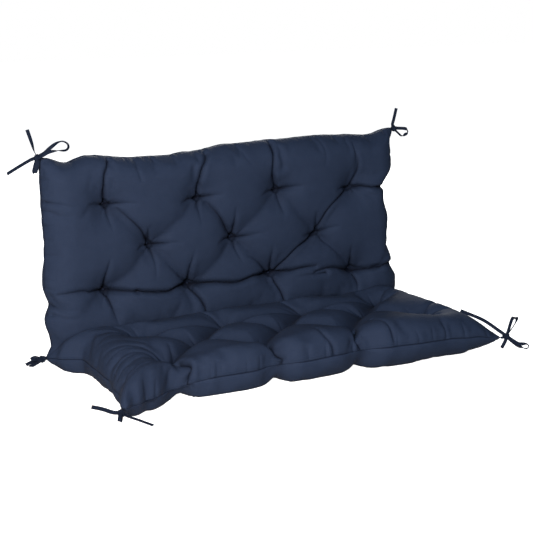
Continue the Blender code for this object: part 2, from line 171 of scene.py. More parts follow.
# How far the seam is drawn in from the straight edge, at places along that edge: across, drawn_in,
# seam_height
FRONT_EDGE = in_metres([
    (-600, 0, 46), (-550, 29, 38), (-500, 58, 34), (-410, 104, 31), (-350, 85, 48), (-300, 77, 54),
    (-200, 66, 56), (-130, 78, 56), (-50, 44, 64), (50, 36, 69), (145, 52, 63), (220, 12, 72),
    (330, 0, 71), (410, 4, 67), (500, 0, 60), (600, 0, 44),
])
# across, drawn_in
TOP_EDGE = in_metres([
    (-600, 9), (-514, 26), (-450, 14), (-300, 26), (-200, 28), (-135, 24), (0, 10), (135, 8), (300, 4),
    (410, 8), (490, 14), (600, 0),
])
# along, drawn_in
LEFT_EDGE = in_metres([
    (-525, 0), (-400, 36), (-300, 56), (-200, 62), (-105, 68), (-50, 16), (0, 0), (25, 16), (90, 4),
    (132, 15), (180, 4), (320, 12), (430, 12), (555, 14),
])
RIGHT_EDGE = in_metres([
    (-525, 0), (-400, 30), (-300, 44), (-200, 46), (-90, 40), (-30, 18), (0, 0), (75, 8), (120, 24),
    (200, 42), (270, 40), (340, 56), (375, 58), (440, 25), (500, 28), (555, 6),
])

# Valleys between the puffs: depth, half_width, and the numbers of the tufts at their two ends
TUFT_VALLEYS = [
    (10, 30, [(0, 4), (1, 5), (6, 3), (4, 7), (4, 8), (5, 8), (5, 9), (6, 10)]),
    (8, 30, [(4, 1), (5, 2), (2, 6)]),
    (12, 30, [(6, 9)]),
    (19, 20, [(11, 12), (12, 13), (13, 14)]),
    (22, 32, [
        (11, 15), (15, 12), (12, 16), (16, 13), (13, 17),
        (17, 14), (15, 18), (15, 19), (16, 19), (16, 20), (17, 20),
    ]),
    (18, 32, [(17, 21)]),
]
# Valleys from the front row of tufts over the front edge: depth, half_width, across_from,
# along_from, across_to, along_to
RIM_VALLEYS = in_metres([
    (10, 22, -402, -400, -382, -525),
    (14, 24, -135, -385, -112, -525),
    (11, 24, 135, -395, 134, -525),
])
VALLEYS = [
    (depth / 1000, half_width / 1000, *TUFTS[start][:2], *TUFTS[end][:2])
    for depth, half_width, pairs in TUFT_VALLEYS
    for start, end in pairs
] + RIM_VALLEYS

# Where the under side is gathered up at the front: across, depth, half_width
UNDER_GATHERS = in_metres([
    (-395, 46, 40), (-500, 14, 60), (-110, 20, 30), (134, 18, 30),
])

# Places where the cushion is flatter than elsewhere: a corner that tapers, one puff at the front,
# and the rear of the seat, more so towards the right
TAPERS = [
    # across, along, share taken off the upper side, share taken off the under side, reach
    (0.600, -0.525, 0.42, 0.25, 0.120),
    (-0.325, -0.440, 0.22, 0.00, 0.075),
    (-0.250, -0.090, 0.14, 0.00, 0.110),
    (0.050, -0.090, 0.20, 0.00, 0.110),
    (0.330, -0.090, 0.28, 0.00, 0.120),
]

print(len(TUFTS), "tufts,", len(VALLEYS), "valleys")

# %% [markdown]
# ## The filled shape as a formula
#
# Each side of the cushion is a height over a middle layer. The height is full in the middle of a
# puff, falls to nothing at the rim along a quarter of an ellipse, and is pulled down at each tuft.
# One could sculpt this by hand, but a formula keeps the tufts where the maker put them. numpy works
# it out for a whole net at once.

# %% The filled shape


def eased(table, column, place):
    """Column of the table at places along its first column, eased from row to row."""
    rows = np.array(table)
    place = np.clip(place, rows[0, 0], rows[-1, 0])
    high = np.clip(np.searchsorted(rows[:, 0], place), 1, len(rows) - 1)
    low = high - 1
    share = (place - rows[low, 0]) / (rows[high, 0] - rows[low, 0])
    share = share * share * (3 - 2 * share)
    return rows[low, column] + (rows[high, column] - rows[low, column]) * share


def shoulder(distance, reach):
    """Quarter of an ellipse: 0 at the rim, 1 from reach inwards."""
    share = np.clip(distance / reach, 0, 1)
    return np.sqrt(share * (2 - share))


def rounded_min(first, second, softness):
    """The smaller of two values, with the corner between them rounded off."""
    return (first + second) / 2 - np.sqrt((first - second) ** 2 / 4 + softness**2)


def shifted(across, along):
    """Moves even places of the pattern by the shifts of the tufts around them."""
    moved_across, moved_along = across.copy(), along.copy()
    for tuft_across, tuft_along, shift_across, shift_along in TUFTS:
        distance = np.hypot(across - tuft_across, along - tuft_along)
        weight = np.exp(-((distance / SHIFT_REACH) ** 2))
        moved_across += weight * shift_across
        moved_along += weight * shift_along
    return moved_across, moved_along


# The roll between the lowest tufts of the back and the fold is filled tightly, so they pull on less
# of it
ROLL_TOP = 0.140
ROLL_TIGHTNESS = 1.9


def tuft_pull(across, along):
    """1 at a tuft, falling to 0 away from it like cloth that is held down at one point."""
    left = np.ones_like(across)
    for tuft_across, tuft_along, _, _ in TUFTS:
        from_tuft = along - tuft_along
        if tuft_along == ROLL_TOP:
            from_tuft = np.where(from_tuft < 0, from_tuft * ROLL_TIGHTNESS, from_tuft)
        distance = np.hypot(across - tuft_across, from_tuft)
        left *= 1 - np.exp(-((distance / TUFT_REACH) ** TUFT_SHARPNESS))
    return 1 - left


def distance_to_run(across, along, start, end):
    """Distance from places of the pattern to the line from start to end."""
    run_across, run_along = end[0] - start[0], end[1] - start[1]
    share = (across - start[0]) * run_across + (along - start[1]) * run_along
    share = np.clip(share / (run_across**2 + run_along**2), 0, 1)
    return np.hypot(across - start[0] - run_across * share, along - start[1] - run_along * share)


def valley_depth(across, along):
    """How far the cloth sinks between two puffs, on both sides of the cushion."""
    deepest = np.zeros_like(across)
    for depth, half_width, *ends in VALLEYS:
        distance = distance_to_run(across, along, ends[:2], ends[2:])
        deepest = np.maximum(deepest, depth * np.exp(-((distance / half_width) ** 2)))
    return deepest


def gathered(across, along):
    """How far the under side is drawn up near the front edge."""
    near_front = np.where(along < 0, abs(along) / SEAT_RUN, 0) ** END_POWER
    return sum(
        depth * np.exp(-(((across - place) / half_width) ** 2)) * near_front
        for place, depth, half_width in UNDER_GATHERS
    )


def fill(across, along, full, valley_share=1.0, reach_share=1.0):
    """Height of one side of the filled cushion over its middle, with no folds in it."""
    side_reach = np.where(along < 0, SEAT_SIDE_SHOULDER, BACK_SIDE_SHOULDER)
    side = shoulder(WIDTH / 2 - abs(across), side_reach * reach_share)
    run = np.where(along < 0, SEAT_RUN, BACK_RUN)
    end = shoulder(run - abs(along), END_SHOULDER * reach_share)
    channel = shoulder(abs(along), FOLD_SHOULDER)
    puffed = full - valley_depth(across, along) * valley_share
    puffed -= (puffed - TUFT_HALF) * tuft_pull(across, along)
    return side * end * (CHANNEL_HALF + (puffed - CHANNEL_HALF) * channel)


def middle_layer(across, along):
    """Places half way through the cushion's thickness, with the seams drawn in."""
    x, run = shifted(across, along)
    near_side = (abs(across) / (WIDTH / 2)) ** SIDE_POWER
    drawn_in = np.where(across < 0, eased(LEFT_EDGE, 1, along), eased(RIGHT_EDGE, 1, along))
    x -= np.sign(across) * drawn_in * near_side
    near_front = (abs(along) / SEAT_RUN) ** END_POWER
    seat_y = run + eased(FRONT_EDGE, 1, across) * near_front
    rise = MIDDLE_HEIGHT * (1 - near_front) + eased(FRONT_EDGE, 2, across) * near_front
    at_fold = np.exp(-abs(along) / FOLD_SPREAD) * near_side
    corner_drop = near_side * (1 - near_front) * (1 - at_fold) * SIDE_DROP
    seat_z = rise + (FOLD_HEIGHT - rise) * at_fold - corner_drop
    up_the_back = abs(along) / BACK_RUN
    back_y = BACK_LEAN * up_the_back**BACK_CURVE
    back_z = MIDDLE_HEIGHT + run - eased(TOP_EDGE, 1, across) * up_the_back**END_POWER
    back_z -= (MIDDLE_HEIGHT - FOLD_HEIGHT) * near_side * np.exp(-abs(along) / FOLD_SPREAD)
    back_z -= TOP_SINK * up_the_back
    on_seat = along < 0
    return np.stack([x, np.where(on_seat, seat_y, back_y), np.where(on_seat, seat_z, back_z)], axis=-1)


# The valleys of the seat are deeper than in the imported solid, because the cloth swells out of them
# later
SEAT_VALLEY_SHARE = 1.8

# Over this run on both sides of the fold the direction in which the puffs rise turns from up to
# forward
TURNING_HALF = 0.006


def rising(along, under):
    """The direction from the middle layer out to the upper or the under side."""
    turned = np.clip(along / TURNING_HALF, -1, 1) * math.pi / 4 + math.pi / 4
    outward = np.stack([np.zeros_like(along), -np.sin(turned), np.cos(turned)], axis=-1)
    return np.where(under[..., None], -outward, outward)


def tapered(across, along, under):
    """1 for the full height, and less near the places in the table of tapers."""
    left = np.ones_like(across)
    for corner_across, corner_along, above, below, reach in TAPERS:
        distance = np.hypot(across - corner_across, along - corner_along)
        left *= 1 - np.where(under, below, above) * np.exp(-((distance / reach) ** 2))
    return left


def cover_places(across, along, under):
    """Places on the cover: the upper side, or the under side where under is set."""
    on_seat = along < 0
    full, valley_share = np.where(on_seat, SEAT_FILL, BACK_FILL), np.where(on_seat, SEAT_VALLEY_SHARE, 1)
    half = fill(across, along, full, valley_share)
    rim = shoulder(WIDTH / 2 - abs(across), BACK_SIDE_SHOULDER)
    rounding = CREASE_ROUNDING * np.minimum(1, half / CREASE_FILL)
    upper_half = rounded_min(half, abs(along) + CHANNEL_HALF * rim, rounding)
    flat_half = fill(across, along, UNDER_FILL, UNDER_VALLEY, UNDER_REACH) - gathered(across, along)
    under_half = np.where(on_seat, flat_half, half)
    height = np.maximum(np.where(under, under_half, upper_half), 0) * tapered(across, along, under)
    places = middle_layer(across, along) + rising(along, under) * height[..., None]
    places[..., 2] = np.where(under & on_seat, np.maximum(places[..., 2], 0), places[..., 2])
    return places


# %% [markdown]
# ## The sewn net
#
# The cover is two panels that meet at the rim, so it is made as two nets that share their outer
# points. The under net has half as many cells each way, which keeps the piece light. The nets'
# lines lie closer together at the rims and at the fold, where the cloth turns over a short
# distance. Later, the cells of the upper net that a crease runs through are cut in four, so that
# narrow creases stay crisp.

# %% Lines of the net
RIM_BAND_ACROSS = 0.100
RIM_BAND_ALONG = 0.075
FOLD_BAND = 0.070
FIRST_STEP_SHARE = 0.4
BAND_SHARE_ACROSS = 1 / 11
BAND_SHARE_ALONG = 1 / 13
BAND_SHARE_FOLD = 1 / 16
SEAT_SHARE = 0.48

# In steps of one line: what is longer than a cell, what is closer than two points can be, and what
# is on the rim
LONGER_THAN_A_CELL = 1.5
WELDED_WITHIN = 0.01
ON_RIM = 0.5


def spaced_from_rim(low, high, steps):
    """Places from low to high that are close at low, as even steps round a quarter circle are, and
    with the first step shorter still, for the groove of a seam."""
    turn = np.linspace(0, math.pi / 2, steps + 1)
    turn[1] *= FIRST_STEP_SHARE
    return low + (high - low) * (1 - np.cos(turn))


def lines_across(cells):
    """Places of the lines across: fine at both rims and even in between."""
    band = round(cells * BAND_SHARE_ACROSS)
    left = spaced_from_rim(-WIDTH / 2, -WIDTH / 2 + RIM_BAND_ACROSS, band)
    middle = np.linspace(left[-1], -left[-1], cells - 2 * band + 1)
    return np.concatenate([left[:-1], middle, -left[::-1][1:]])


def lines_along(cells):
    """Places of the lines along: fine at the front, on both sides of the fold and at the top."""
    rim_band, fold_band = round(cells * BAND_SHARE_ALONG), round(cells * BAND_SHARE_FOLD)
    left_over = cells - 2 * rim_band - 2 * fold_band
    seat_cells = round(left_over * SEAT_SHARE)
    front = spaced_from_rim(-SEAT_RUN, -SEAT_RUN + RIM_BAND_ALONG, rim_band)
    top = spaced_from_rim(BACK_RUN, BACK_RUN - RIM_BAND_ALONG, rim_band)[::-1]
    fold = spaced_from_rim(0, FOLD_BAND, fold_band)
    seat = np.linspace(front[-1], -fold[-1], seat_cells + 1)
    back = np.linspace(fold[-1], top[0], left_over - seat_cells + 1)
    return np.concatenate([front, seat[1:], -fold[::-1][1:], fold[1:], back[1:], top[1:]])


# %% The net as one closed mesh


def vert_places(mesh):
    places = np.empty(len(mesh.vertices) * 3, np.float32)
    mesh.vertices.foreach_get("co", places)
    return places.reshape(-1, 3).astype(float)


def set_places(thing, places):
    thing.data.vertices.foreach_set("co", np.ascontiguousarray(places, dtype=np.float32).ravel())
    thing.data.update()


def grid_on(across_numbers, along_numbers):
    """A flat grid whose corners lie at the given numbers of the lines."""
    grid = bmesh.new()
    columns, rows = len(across_numbers) - 1, len(along_numbers) - 1
    bmesh.ops.create_grid(grid, x_segments=columns, y_segments=rows, size=0.5)
    for vert in grid.verts:
        vert.co.x = across_numbers[round((vert.co.x + 0.5) * columns)]
        vert.co.y = along_numbers[round((vert.co.y + 0.5) * rows)]
    return grid


def pattern_of(spots, across, along):
    """Pattern coordinates of spots given in numbers of the lines."""
    return (
        np.interp(spots[:, 0], np.arange(len(across)), across),
        np.interp(spots[:, 1], np.arange(len(along)), along),
    )


def cut_near_creases(net, across, along, is_near):
    """Cuts in four the cells whose corners all lie near a crease, but leaves the rim as it is."""
    net.verts.ensure_lookup_table()
    near = is_near(*pattern_of(np.array([vert.co[:2] for vert in net.verts]), across, along))
    chosen = [
        edge
        for edge in net.edges
        if near[edge.verts[0].index] and near[edge.verts[1].index] and not edge.is_boundary
    ]
    bmesh.ops.subdivide_edges(net, edges=chosen, cuts=1, use_grid_fill=True)


def under_grid(columns, rows, share):
    """The under panel's net: fewer lines except beside the rim, and the upper net's points on the
    rim."""
    numbers = [sorted({1, cells - 1, *range(0, cells + 1, share)}) for cells in (columns, rows)]
    under = grid_on(*numbers)
    rim = [edge for edge in under.edges if edge.is_boundary]
    long_rim = [edge for edge in rim if edge.calc_length() > LONGER_THAN_A_CELL]
    if long_rim:
        bmesh.ops.subdivide_edges(under, edges=long_rim, cuts=share - 1)
    for vert in under.verts:
        vert.co.z = 0 if vert.is_boundary else -1
    bmesh.ops.reverse_faces(under, faces=under.faces)
    return under


def split_corner_cells(net, columns, rows):
    """Cuts the cells at the four corners from their tips inwards, so that no two of them coincide."""
    tips = [vert for vert in net.verts if vert.co.x in (0, columns) and vert.co.y in (0, rows)]
    for tip in tips:
        for face in list(tip.link_faces):
            if len(face.verts) == 4:
                inner = max(face.verts, key=lambda vert: (vert.co - tip.co).length)
                bmesh.utils.face_split(face, tip, inner)


def sewn_net(name, across, along, share_under=1, is_near=None):
    """Two grids welded along their rims, on lines across and along. Returns the object and, for
    each of its points, the pattern coordinates, whether it is on the under side, and how many
    lines in from the rim it is."""
    columns, rows = len(across) - 1, len(along) - 1
    net = grid_on(range(columns + 1), range(rows + 1))
    if is_near:
        cut_near_creases(net, across, along, is_near)
    under = under_grid(columns, rows, share_under)
    scratch = bpy.data.meshes.new("under_panel")
    under.to_mesh(scratch)
    under.free()
    net.from_mesh(scratch)
    bpy.data.meshes.remove(scratch)
    bmesh.ops.remove_doubles(net, verts=net.verts, dist=WELDED_WITHIN)
    split_corner_cells(net, columns, rows)
    sewn = add_smooth(name, net)
    spots = vert_places(sewn.data)
    ring = np.minimum(spots[:, :2], np.array((columns, rows)) - spots[:, :2]).min(axis=1)
    return sewn, *pattern_of(spots, across, along), spots[:, 2] < -0.5, ring


# %% [markdown]
# ## The swelling, by simulation
#
# Loose fibre pushes the cover out, and cloth that is held at the tufts and the seams then wrinkles
# between them. Blender's Cloth does this on a coarser net: the rim, the tufts, the channel and the
# flat underside are pinned, the rest swells under pressure and has a little too much cloth. No
# point may move further than SWELL_CAP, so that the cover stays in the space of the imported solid.
# Only the movement is kept: it is read off at each point, and added to the fine net later.

# %% Simulate the swelling
SWELL_ACROSS = lines_across(120)
SWELL_ALONG = lines_along(108)
SWELL_FRAMES = 20
SWELL_CAP = 0.007
CLOTH_SETTINGS = {
    "quality": 6,
    "mass": 0.2,
    "tension_stiffness": 12,
    "compression_stiffness": 12,
    "shear_stiffness": 5,
    "bending_stiffness": 0.4,
    "vertex_group_mass": "pins",
    "use_pressure": True,
    "uniform_pressure_force": 4.0,
    "shrink_min": -0.035,
}
TUFT_PIN_RADIUS = 0.009
CHANNEL_PIN_HALF = 0.008
FLOOR_PIN_HEIGHT = 0.0004
SAME_LINE = 1e-7


def held_points(start, across, along, under, ring):
    """The points that the seams, the tufts, the channel and the floor hold."""
    held = (ring < ON_RIM) | (abs(along) < CHANNEL_PIN_HALF)
    held |= under & (start[:, 2] < FLOOR_PIN_HEIGHT) & (along < 0)
    for tuft_across, tuft_along, _, _ in TUFTS:
        held |= np.hypot(across - tuft_across, along - tuft_along) < TUFT_PIN_RADIUS
    return held


def simulate_swelling():
    """How far the cloth moves as it swells: a grid of movements for the upper net, and one for the
    under."""
    net, across, along, under, ring = sewn_net("swell_net", SWELL_ACROSS, SWELL_ALONG)
    start = cover_places(across, along, under)
    held = held_points(start, across, along, under, ring)
    set_places(net, start)
    pins = net.vertex_groups.new(name="pins")
    pins.add(np.flatnonzero(held).tolist(), 1.0, "REPLACE")
    cloth = net.modifiers.new("swell", "CLOTH")
    for name, value in CLOTH_SETTINGS.items():
        setattr(cloth.settings, name, value)
    cloth.settings.effector_weights.gravity = 0
    cloth.collision_settings.use_collision = False
    cloth.point_cache.frame_end = SWELL_FRAMES
    for step in range(1, SWELL_FRAMES + 1):
        bpy.context.scene.frame_set(step)
    swollen = net.evaluated_get(bpy.context.evaluated_depsgraph_get())
    moved = vert_places(swollen.data) - start
    bpy.context.scene.frame_set(1)
    bpy.data.objects.remove(net, do_unlink=True)
    far = np.linalg.norm(moved, axis=1)
    print("swelling: mean", round(far.mean() * 1000, 1), "mm, most", round(far.max() * 1000, 1), "mm")
    moved *= (SWELL_CAP * np.tanh(far / SWELL_CAP) / np.maximum(far, TINY))[:, None]
    column = np.searchsorted(SWELL_ACROSS, across - SAME_LINE)
    row = np.searchsorted(SWELL_ALONG, along - SAME_LINE)
    grids = np.zeros((2, len(SWELL_ALONG), len(SWELL_ACROSS), 3))
    grids[under.astype(int), row, column] = moved
    return grids


SWELLING = simulate_swelling()


def cubic_shares(place):
    """The grid line before each place, and the shares of the four lines around it in a smooth blend."""
    line = np.floor(place).astype(int)
    t = place - line
    first, second = (1 - t) ** 3 / 6, (3 * t**3 - 6 * t**2 + 4) / 6
    return line, (first, second, 1 - first - second - t**3 / 6, t**3 / 6)


def swelling_at(across, along, under):
    """The simulated movement at any places of the pattern."""
    moved = np.zeros(across.shape + (3,))
    if SWELLING is None:
        return moved
    column, across_shares = cubic_shares(np.interp(across, SWELL_ACROSS, np.arange(len(SWELL_ACROSS))))
    row, along_shares = cubic_shares(np.interp(along, SWELL_ALONG, np.arange(len(SWELL_ALONG))))
    side = under.astype(int)
    for step_row, row_share in enumerate(along_shares, -1):
        for step_column, column_share in enumerate(across_shares, -1):
            at_row = np.clip(row + step_row, 0, len(SWELL_ALONG) - 1)
            at_column = np.clip(column + step_column, 0, len(SWELL_ACROSS) - 1)
            moved += (row_share * column_share)[..., None] * SWELLING[side, at_row, at_column]
    return moved


# %% [markdown]
# ## Creases
#
# A crease on a filled cushion is narrow and deep where it starts at a tuft, fades out along its
# run, and has a soft ridge on either side. Each one follows a few places of the pattern, read off
# the photograph. Two things make it look like folded cloth and not like a scratch: the ground
# between the ridges sinks, and both lips slide towards each other, which closes the crease.

# %% Table of the creases, in millimetres
CREASE_ROWS = [
    # depth, half width, share of the depth at the start and at the end, places (across, along)
    # From the first row of tufts up to the top seam
    (13, 5.5, 1, 0.7, (-410, 404), (-416, 448), (-416, 497), (-397, 544)),
    (15, 5.5, 1, 0.8, (-135, 404), (-129, 455), (-114, 501), (-90, 545)),
    (14, 5.5, 1, 0.8, (135, 404), (121, 448), (120, 490), (130, 548)),
    (11, 5.5, 1, 0.3, (410, 402), (425, 445), (425, 480), (416, 524)),
    (5, 5, 0.3, 0.6, (-314, 550), (-317, 516), (-312, 484)),
    (4, 5, 0.5, 0.2, (20, 548), (30, 510), (48, 486)),
    (4, 5, 0.5, 0.2, (300, 548), (306, 505), (300, 470)),
    # Sideways from the first row
    (11, 6, 1, 0, (-410, 400), (-440, 404), (-480, 412)),
    (6, 5, 0.2, 1, (-520, 418), (-560, 424), (-596, 428)),
    (13, 6, 1, 0, (-410, 400), (-370, 405), (-310, 409)),
    (13, 6, 1, 0, (-135, 400), (-165, 399), (-200, 392)),
    (13, 6, 1, 0, (-135, 400), (-95, 404), (-50, 406)),
    (12, 6, 1, 0, (135, 400), (105, 398), (70, 390)),
    (13, 6, 1, 0, (135, 400), (175, 404), (225, 408)),
    (12, 6, 1, 0, (410, 400), (375, 400), (345, 392)),
    (13, 5.5, 1, 1, (422, 401), (460, 397), (515, 384), (590, 371)),
    # Long diagonals down from the first row to the second
    (10, 5, 0.5, 1, (-380, 389), (-347, 360), (-309, 321), (-279, 278)),
    (10, 5, 0.5, 1, (-111, 384), (-84, 360), (-47, 323), (-5, 275)),
    (11, 5, 0.9, 1, (404, 396), (348, 359), (307, 326), (276, 276)),
    # Tails below the first row
    (7, 5, 1, 0, (-408, 396), (-406, 360), (-402, 320)),
    (7, 5, 1, 0, (-135, 396), (-135, 360), (-131, 316)),
    (6, 5, 1, 0, (135, 396), (142, 360), (152, 320)),
    # The second row
    (12, 6, 1, 0, (-275, 272), (-282, 305), (-288, 340)),
    (13, 6, 1, 0, (0, 272), (-4, 320), (-12, 372)),
    (12, 6, 1, 0, (275, 272), (272, 305), (268, 340)),
    (10, 6, 1, 0, (-275, 270), (-300, 270), (-330, 262)),
    (13, 6, 1, 0, (-275, 270), (-230, 273), (-180, 275)),
    (12, 6, 1, 0, (0, 270), (-35, 270), (-70, 262)),
    (13, 6, 1, 0, (0, 270), (45, 274), (100, 278)),
    (12, 6, 1, 0, (275, 270), (245, 266), (215, 256)),
    (12, 6, 1, 0, (275, 270), (310, 276), (360, 278)),
    (8, 5, 1, 0, (-275, 266), (-268, 220), (-277, 168)),
    (7, 5, 1, 0, (0, 262), (4, 225), (14, 190)),
    (12, 5, 1, 1, (268, 264), (209, 224), (175, 186), (140, 145)),
    (7, 5, 0.7, 0.2, (281, 264), (297, 241), (330, 209), (385, 166)),
    (7, 5, 0.2, 1, (-232, 213), (-195, 184), (-139, 144)),
    (8, 5, 0.2, 1, (35, 214), (65, 194), (124, 144)),
    # Short folds above the third row
    (12, 6, 1, 0, (-410, 142), (-417, 200), (-415, 262)),
    (12, 6, 1, 0, (-138, 142), (-150, 195), (-149, 250)),
    (12, 6, 1, 0, (135, 142), (122, 190), (114, 242)),
    (12, 6, 1, 0, (410, 138), (401, 180), (399, 222)),
    # The deep fold along the third row, first as a broad valley, and the tails below it
    (6, 15, 0.2, 1, (-590, 160), (-511, 165), (-410, 141), (-236, 135), (-135, 140)),
    (6, 15, 1, 0.8, (-135, 140), (-9, 136), (135, 142), (221, 149), (411, 137)),
    (5, 15, 0.8, 0.4, (411, 137), (486, 132), (590, 121)),
    (13, 5.5, 0.3, 1, (-571, 166), (-511, 167), (-462, 154), (-410, 141), (-329, 140)),
    (15, 5.5, 1, 1, (-329, 140), (-236, 133), (-180, 142), (-135, 140)),
    (15, 5.5, 1, 1, (-135, 140), (-76, 141), (-9, 132), (60, 145), (135, 142)),
    (15, 5.5, 1, 0.4, (135, 142), (185, 146), (221, 152), (262, 153)),
    (10, 6, 0, 1, (190, 128), (250, 126), (300, 130)),
    (14, 5.5, 0.5, 1, (262, 134), (330, 146), (411, 137), (486, 130), (590, 121)),
    (11, 5, 1, 0.2, (-411, 136), (-400, 102), (-394, 60)),
    (15, 4.8, 1, 0.6, (-135, 136), (-121, 110), (-113, 82), (-111, 45)),
    (13, 4.8, 1, 0.5, (135, 136), (145, 112), (151, 84), (154, 45)),
    (11, 5, 1, 0.2, (410, 130), (418, 100), (416, 60)),
    (6, 5, 0.3, 1, (-530, 118), (-565, 122), (-598, 132)),
    (6, 5, 0.2, 0.8, (-520, 96), (-560, 100), (-592, 110)),
    # Gathers that rise out of the channel
    (7, 4.5, 1, 0, (-118, 6), (-120, 30), (-112, 52)),
    (6, 4.5, 1, 0, (-310, 6), (-298, 24), (-280, 40)),
    (7, 4.5, 1, 0, (30, 6), (40, 28), (56, 44)),
    (6, 4.5, 1, 0, (235, 6), (240, 26), (256, 44)),
    (6, 4.5, 1, 0, (330, 6), (340, 24), (352, 46)),
    (6, 4.5, 1, 0, (480, 6), (472, 28), (478, 52)),
    (5, 4.5, 1, 0, (-470, 6), (-476, 26), (-468, 46)),
    # Over the front edge of the seat
    (18, 6, 0.9, 0.7, (-392, -420), (-378, -462), (-370, -500), (-378, -525)),
    (13, 5.2, 0.8, 0.5, (-125, -430), (-119, -500), (-105, -521), (-112, -525)),
    (17, 6, 0.9, 0.7, (142, -420), (134, -470), (126, -505), (134, -525)),
    (9, 5, 0.4, 0.7, (21, -440), (24, -490), (39, -525)),
    (4, 5, 0.4, 0.6, (150, -505), (110, -515), (88, -525)),
    (8, 5, 0.4, 0.7, (205, -420), (222, -470), (224, -520)),
    (10, 6, 0.3, 1, (-370, -300), (-376, -339), (-398, -380)),
    # The fan from the front left tuft to the side
    (4, 6, 1, 0.4, (-414, -392), (-490, -430), (-575, -455)),
    (3, 4.5, 0.3, 0.7, (-470, -402), (-520, -416), (-585, -424)),
    (5.5, 7, 1, 0.5, (-414, -380), (-490, -375), (-588, -385)),
    (3.5, 4.5, 0.2, 0.9, (-490, -352), (-530, -346), (-588, -338)),
    (5.5, 7, 1, 0.6, (-414, -374), (-478, -338), (-588, -300)),
    (3, 4.5, 0.4, 0.7, (-460, -318), (-520, -290), (-585, -268)),
    (5, 6, 1, 0.4, (-410, -358), (-470, -292), (-575, -232)),
    (3.5, 6, 0.6, 0.4, (-440, -280), (-490, -226), (-575, -182)),
    # From the rear tufts back towards the fold
    (12, 5, 1, 0.6, (-135, -132), (-142, -100), (-152, -66)),
    (12, 5, 1, 0.6, (137, -132), (128, -100), (116, -66)),
    # Round the rear left of the seat
    (4.5, 7.5, 1, 0.3, (-410, -140), (-480, -152), (-580, -170)),
    (4.5, 7.5, 1, 0.3, (-410, -140), (-480, -120), (-570, -112)),
    (4.5, 7.5, 0.8, 0.2, (-410, -136), (-470, -96), (-560, -66)),
    (6, 6, 0.8, 0.2, (-412, -138), (-440, -80), (-470, -20)),
    # Round the right end of the seat
    (8, 6, 1, 0.4, (410, -385), (480, -380), (590, -400)),
    (8, 6, 1, 0.4, (412, -378), (480, -340), (590, -320)),
    (8, 6, 1, 0.4, (410, -140), (480, -150), (590, -180)),
    (7, 6, 1, 0.3, (412, -136), (480, -110), (590, -100)),
]


def crease(depth, half_width, at_start, at_end, *places):
    """A row of the table with its lengths in metres, and its places as one list."""
    return depth / 1000, half_width / 1000, at_start, at_end, in_metres(places)


CREASES = [crease(*row) for row in CREASE_ROWS]
print(len(CREASES), "creases")

# %% [markdown]
# Every tuft also has a star of short pleats, because the thread gathers the cloth from all sides.
# These are spread round it by a rule, with a fixed seed so that each run gives the same cushion.

# %% Pleats round the tufts
PLEATS_EACH = 7
PLEAT_LENGTH = 0.030
SEAT_PLEAT_LENGTH = 0.062
PLEAT_DEPTH = 0.0045
PLEAT_HALF_WIDTH = 0.0040
PLEAT_UNEVENNESS = 0.3
PLEAT_LENGTH_SHARES = (0.7, 1.4)
PLEAT_SEED = 7


def tuft_pleats():
    chance = np.random.default_rng(PLEAT_SEED)
    pleats = []
    for across, along, _, _ in TUFTS:
        first = chance.uniform(0, math.tau)
        reach = SEAT_PLEAT_LENGTH if along < 0 else PLEAT_LENGTH
        for number in range(PLEATS_EACH):
            aside = chance.uniform(-PLEAT_UNEVENNESS, PLEAT_UNEVENNESS)
            turn = first + math.tau * (number + aside) / PLEATS_EACH
            length = reach * chance.uniform(*PLEAT_LENGTH_SHARES)
            end = (across + length * math.cos(turn), along + length * math.sin(turn))
            pleats.append((PLEAT_DEPTH, PLEAT_HALF_WIDTH, 1.0, 0.0, [(across, along), end]))
    return pleats


print(PLEATS_EACH * len(TUFTS), "pleats")

# %% Puckers along the seam, where the needle has drawn the cloth in
PUCKER_SEED = 11
PUCKER_DEPTH = 0.0035
PUCKER_HALF_WIDTH = 0.0040
PUCKER_PLACES = (0.1, 0.9)
PUCKER_LENGTHS = (0.012, 0.034)
PUCKER_SLANT = 0.008
PUCKER_DEPTH_SHARES = (0.4, 1.2)
PUCKERED_EDGES = [
    # from (across, along), to, how many, way inwards
    ((-0.56, BACK_RUN), (0.57, BACK_RUN), 24, (0, -1)),
    ((-0.56, -SEAT_RUN), (0.57, -SEAT_RUN), 18, (0, 1)),
    ((-WIDTH / 2, 0.05), (-WIDTH / 2, 0.52), 10, (1, 0)),
    ((WIDTH / 2, 0.05), (WIDTH / 2, 0.52), 12, (-1, 0)),
]


def seam_puckers():
    """Short creases from the seam inwards, at uneven places and of uneven lengths."""
    chance = np.random.default_rng(PUCKER_SEED)
    puckers = []
    for start, end, count, inwards in PUCKERED_EDGES:
        start, end, inwards = np.array(start), np.array(end), np.array(inwards)
        for number in range(count):
            on_seam = start + (end - start) * (number + chance.uniform(*PUCKER_PLACES)) / count
            tip = on_seam + inwards * chance.uniform(*PUCKER_LENGTHS)
            tip = tip + inwards[::-1] * chance.uniform(-PUCKER_SLANT, PUCKER_SLANT)
            depth = PUCKER_DEPTH * chance.uniform(*PUCKER_DEPTH_SHARES)
            puckers.append((depth, PUCKER_HALF_WIDTH, 1.0, 0.0, [on_seam, tip]))
    return puckers


# %% The relief of the creases
CURVE_STEPS = 5
LIP_SHARE = 0.13
LIP_PLACE = 2.4
CREASE_SHARPNESS = 1.5
CLOSING_REACH = 0.0030
CLOSES_FROM = 0.8
# Painted shade in a crease: how far it spreads from the crease's line, and the depth from which it is
# full
PAINTED_SHADE_REACH = 0.0026
PAINTED_SHADE_DEPTH = 0.006
RELIEF_REACH_IN_WIDTHS = 5
FINE_REACH_IN_WIDTHS = 1.8
BROAD_FROM = 0.009


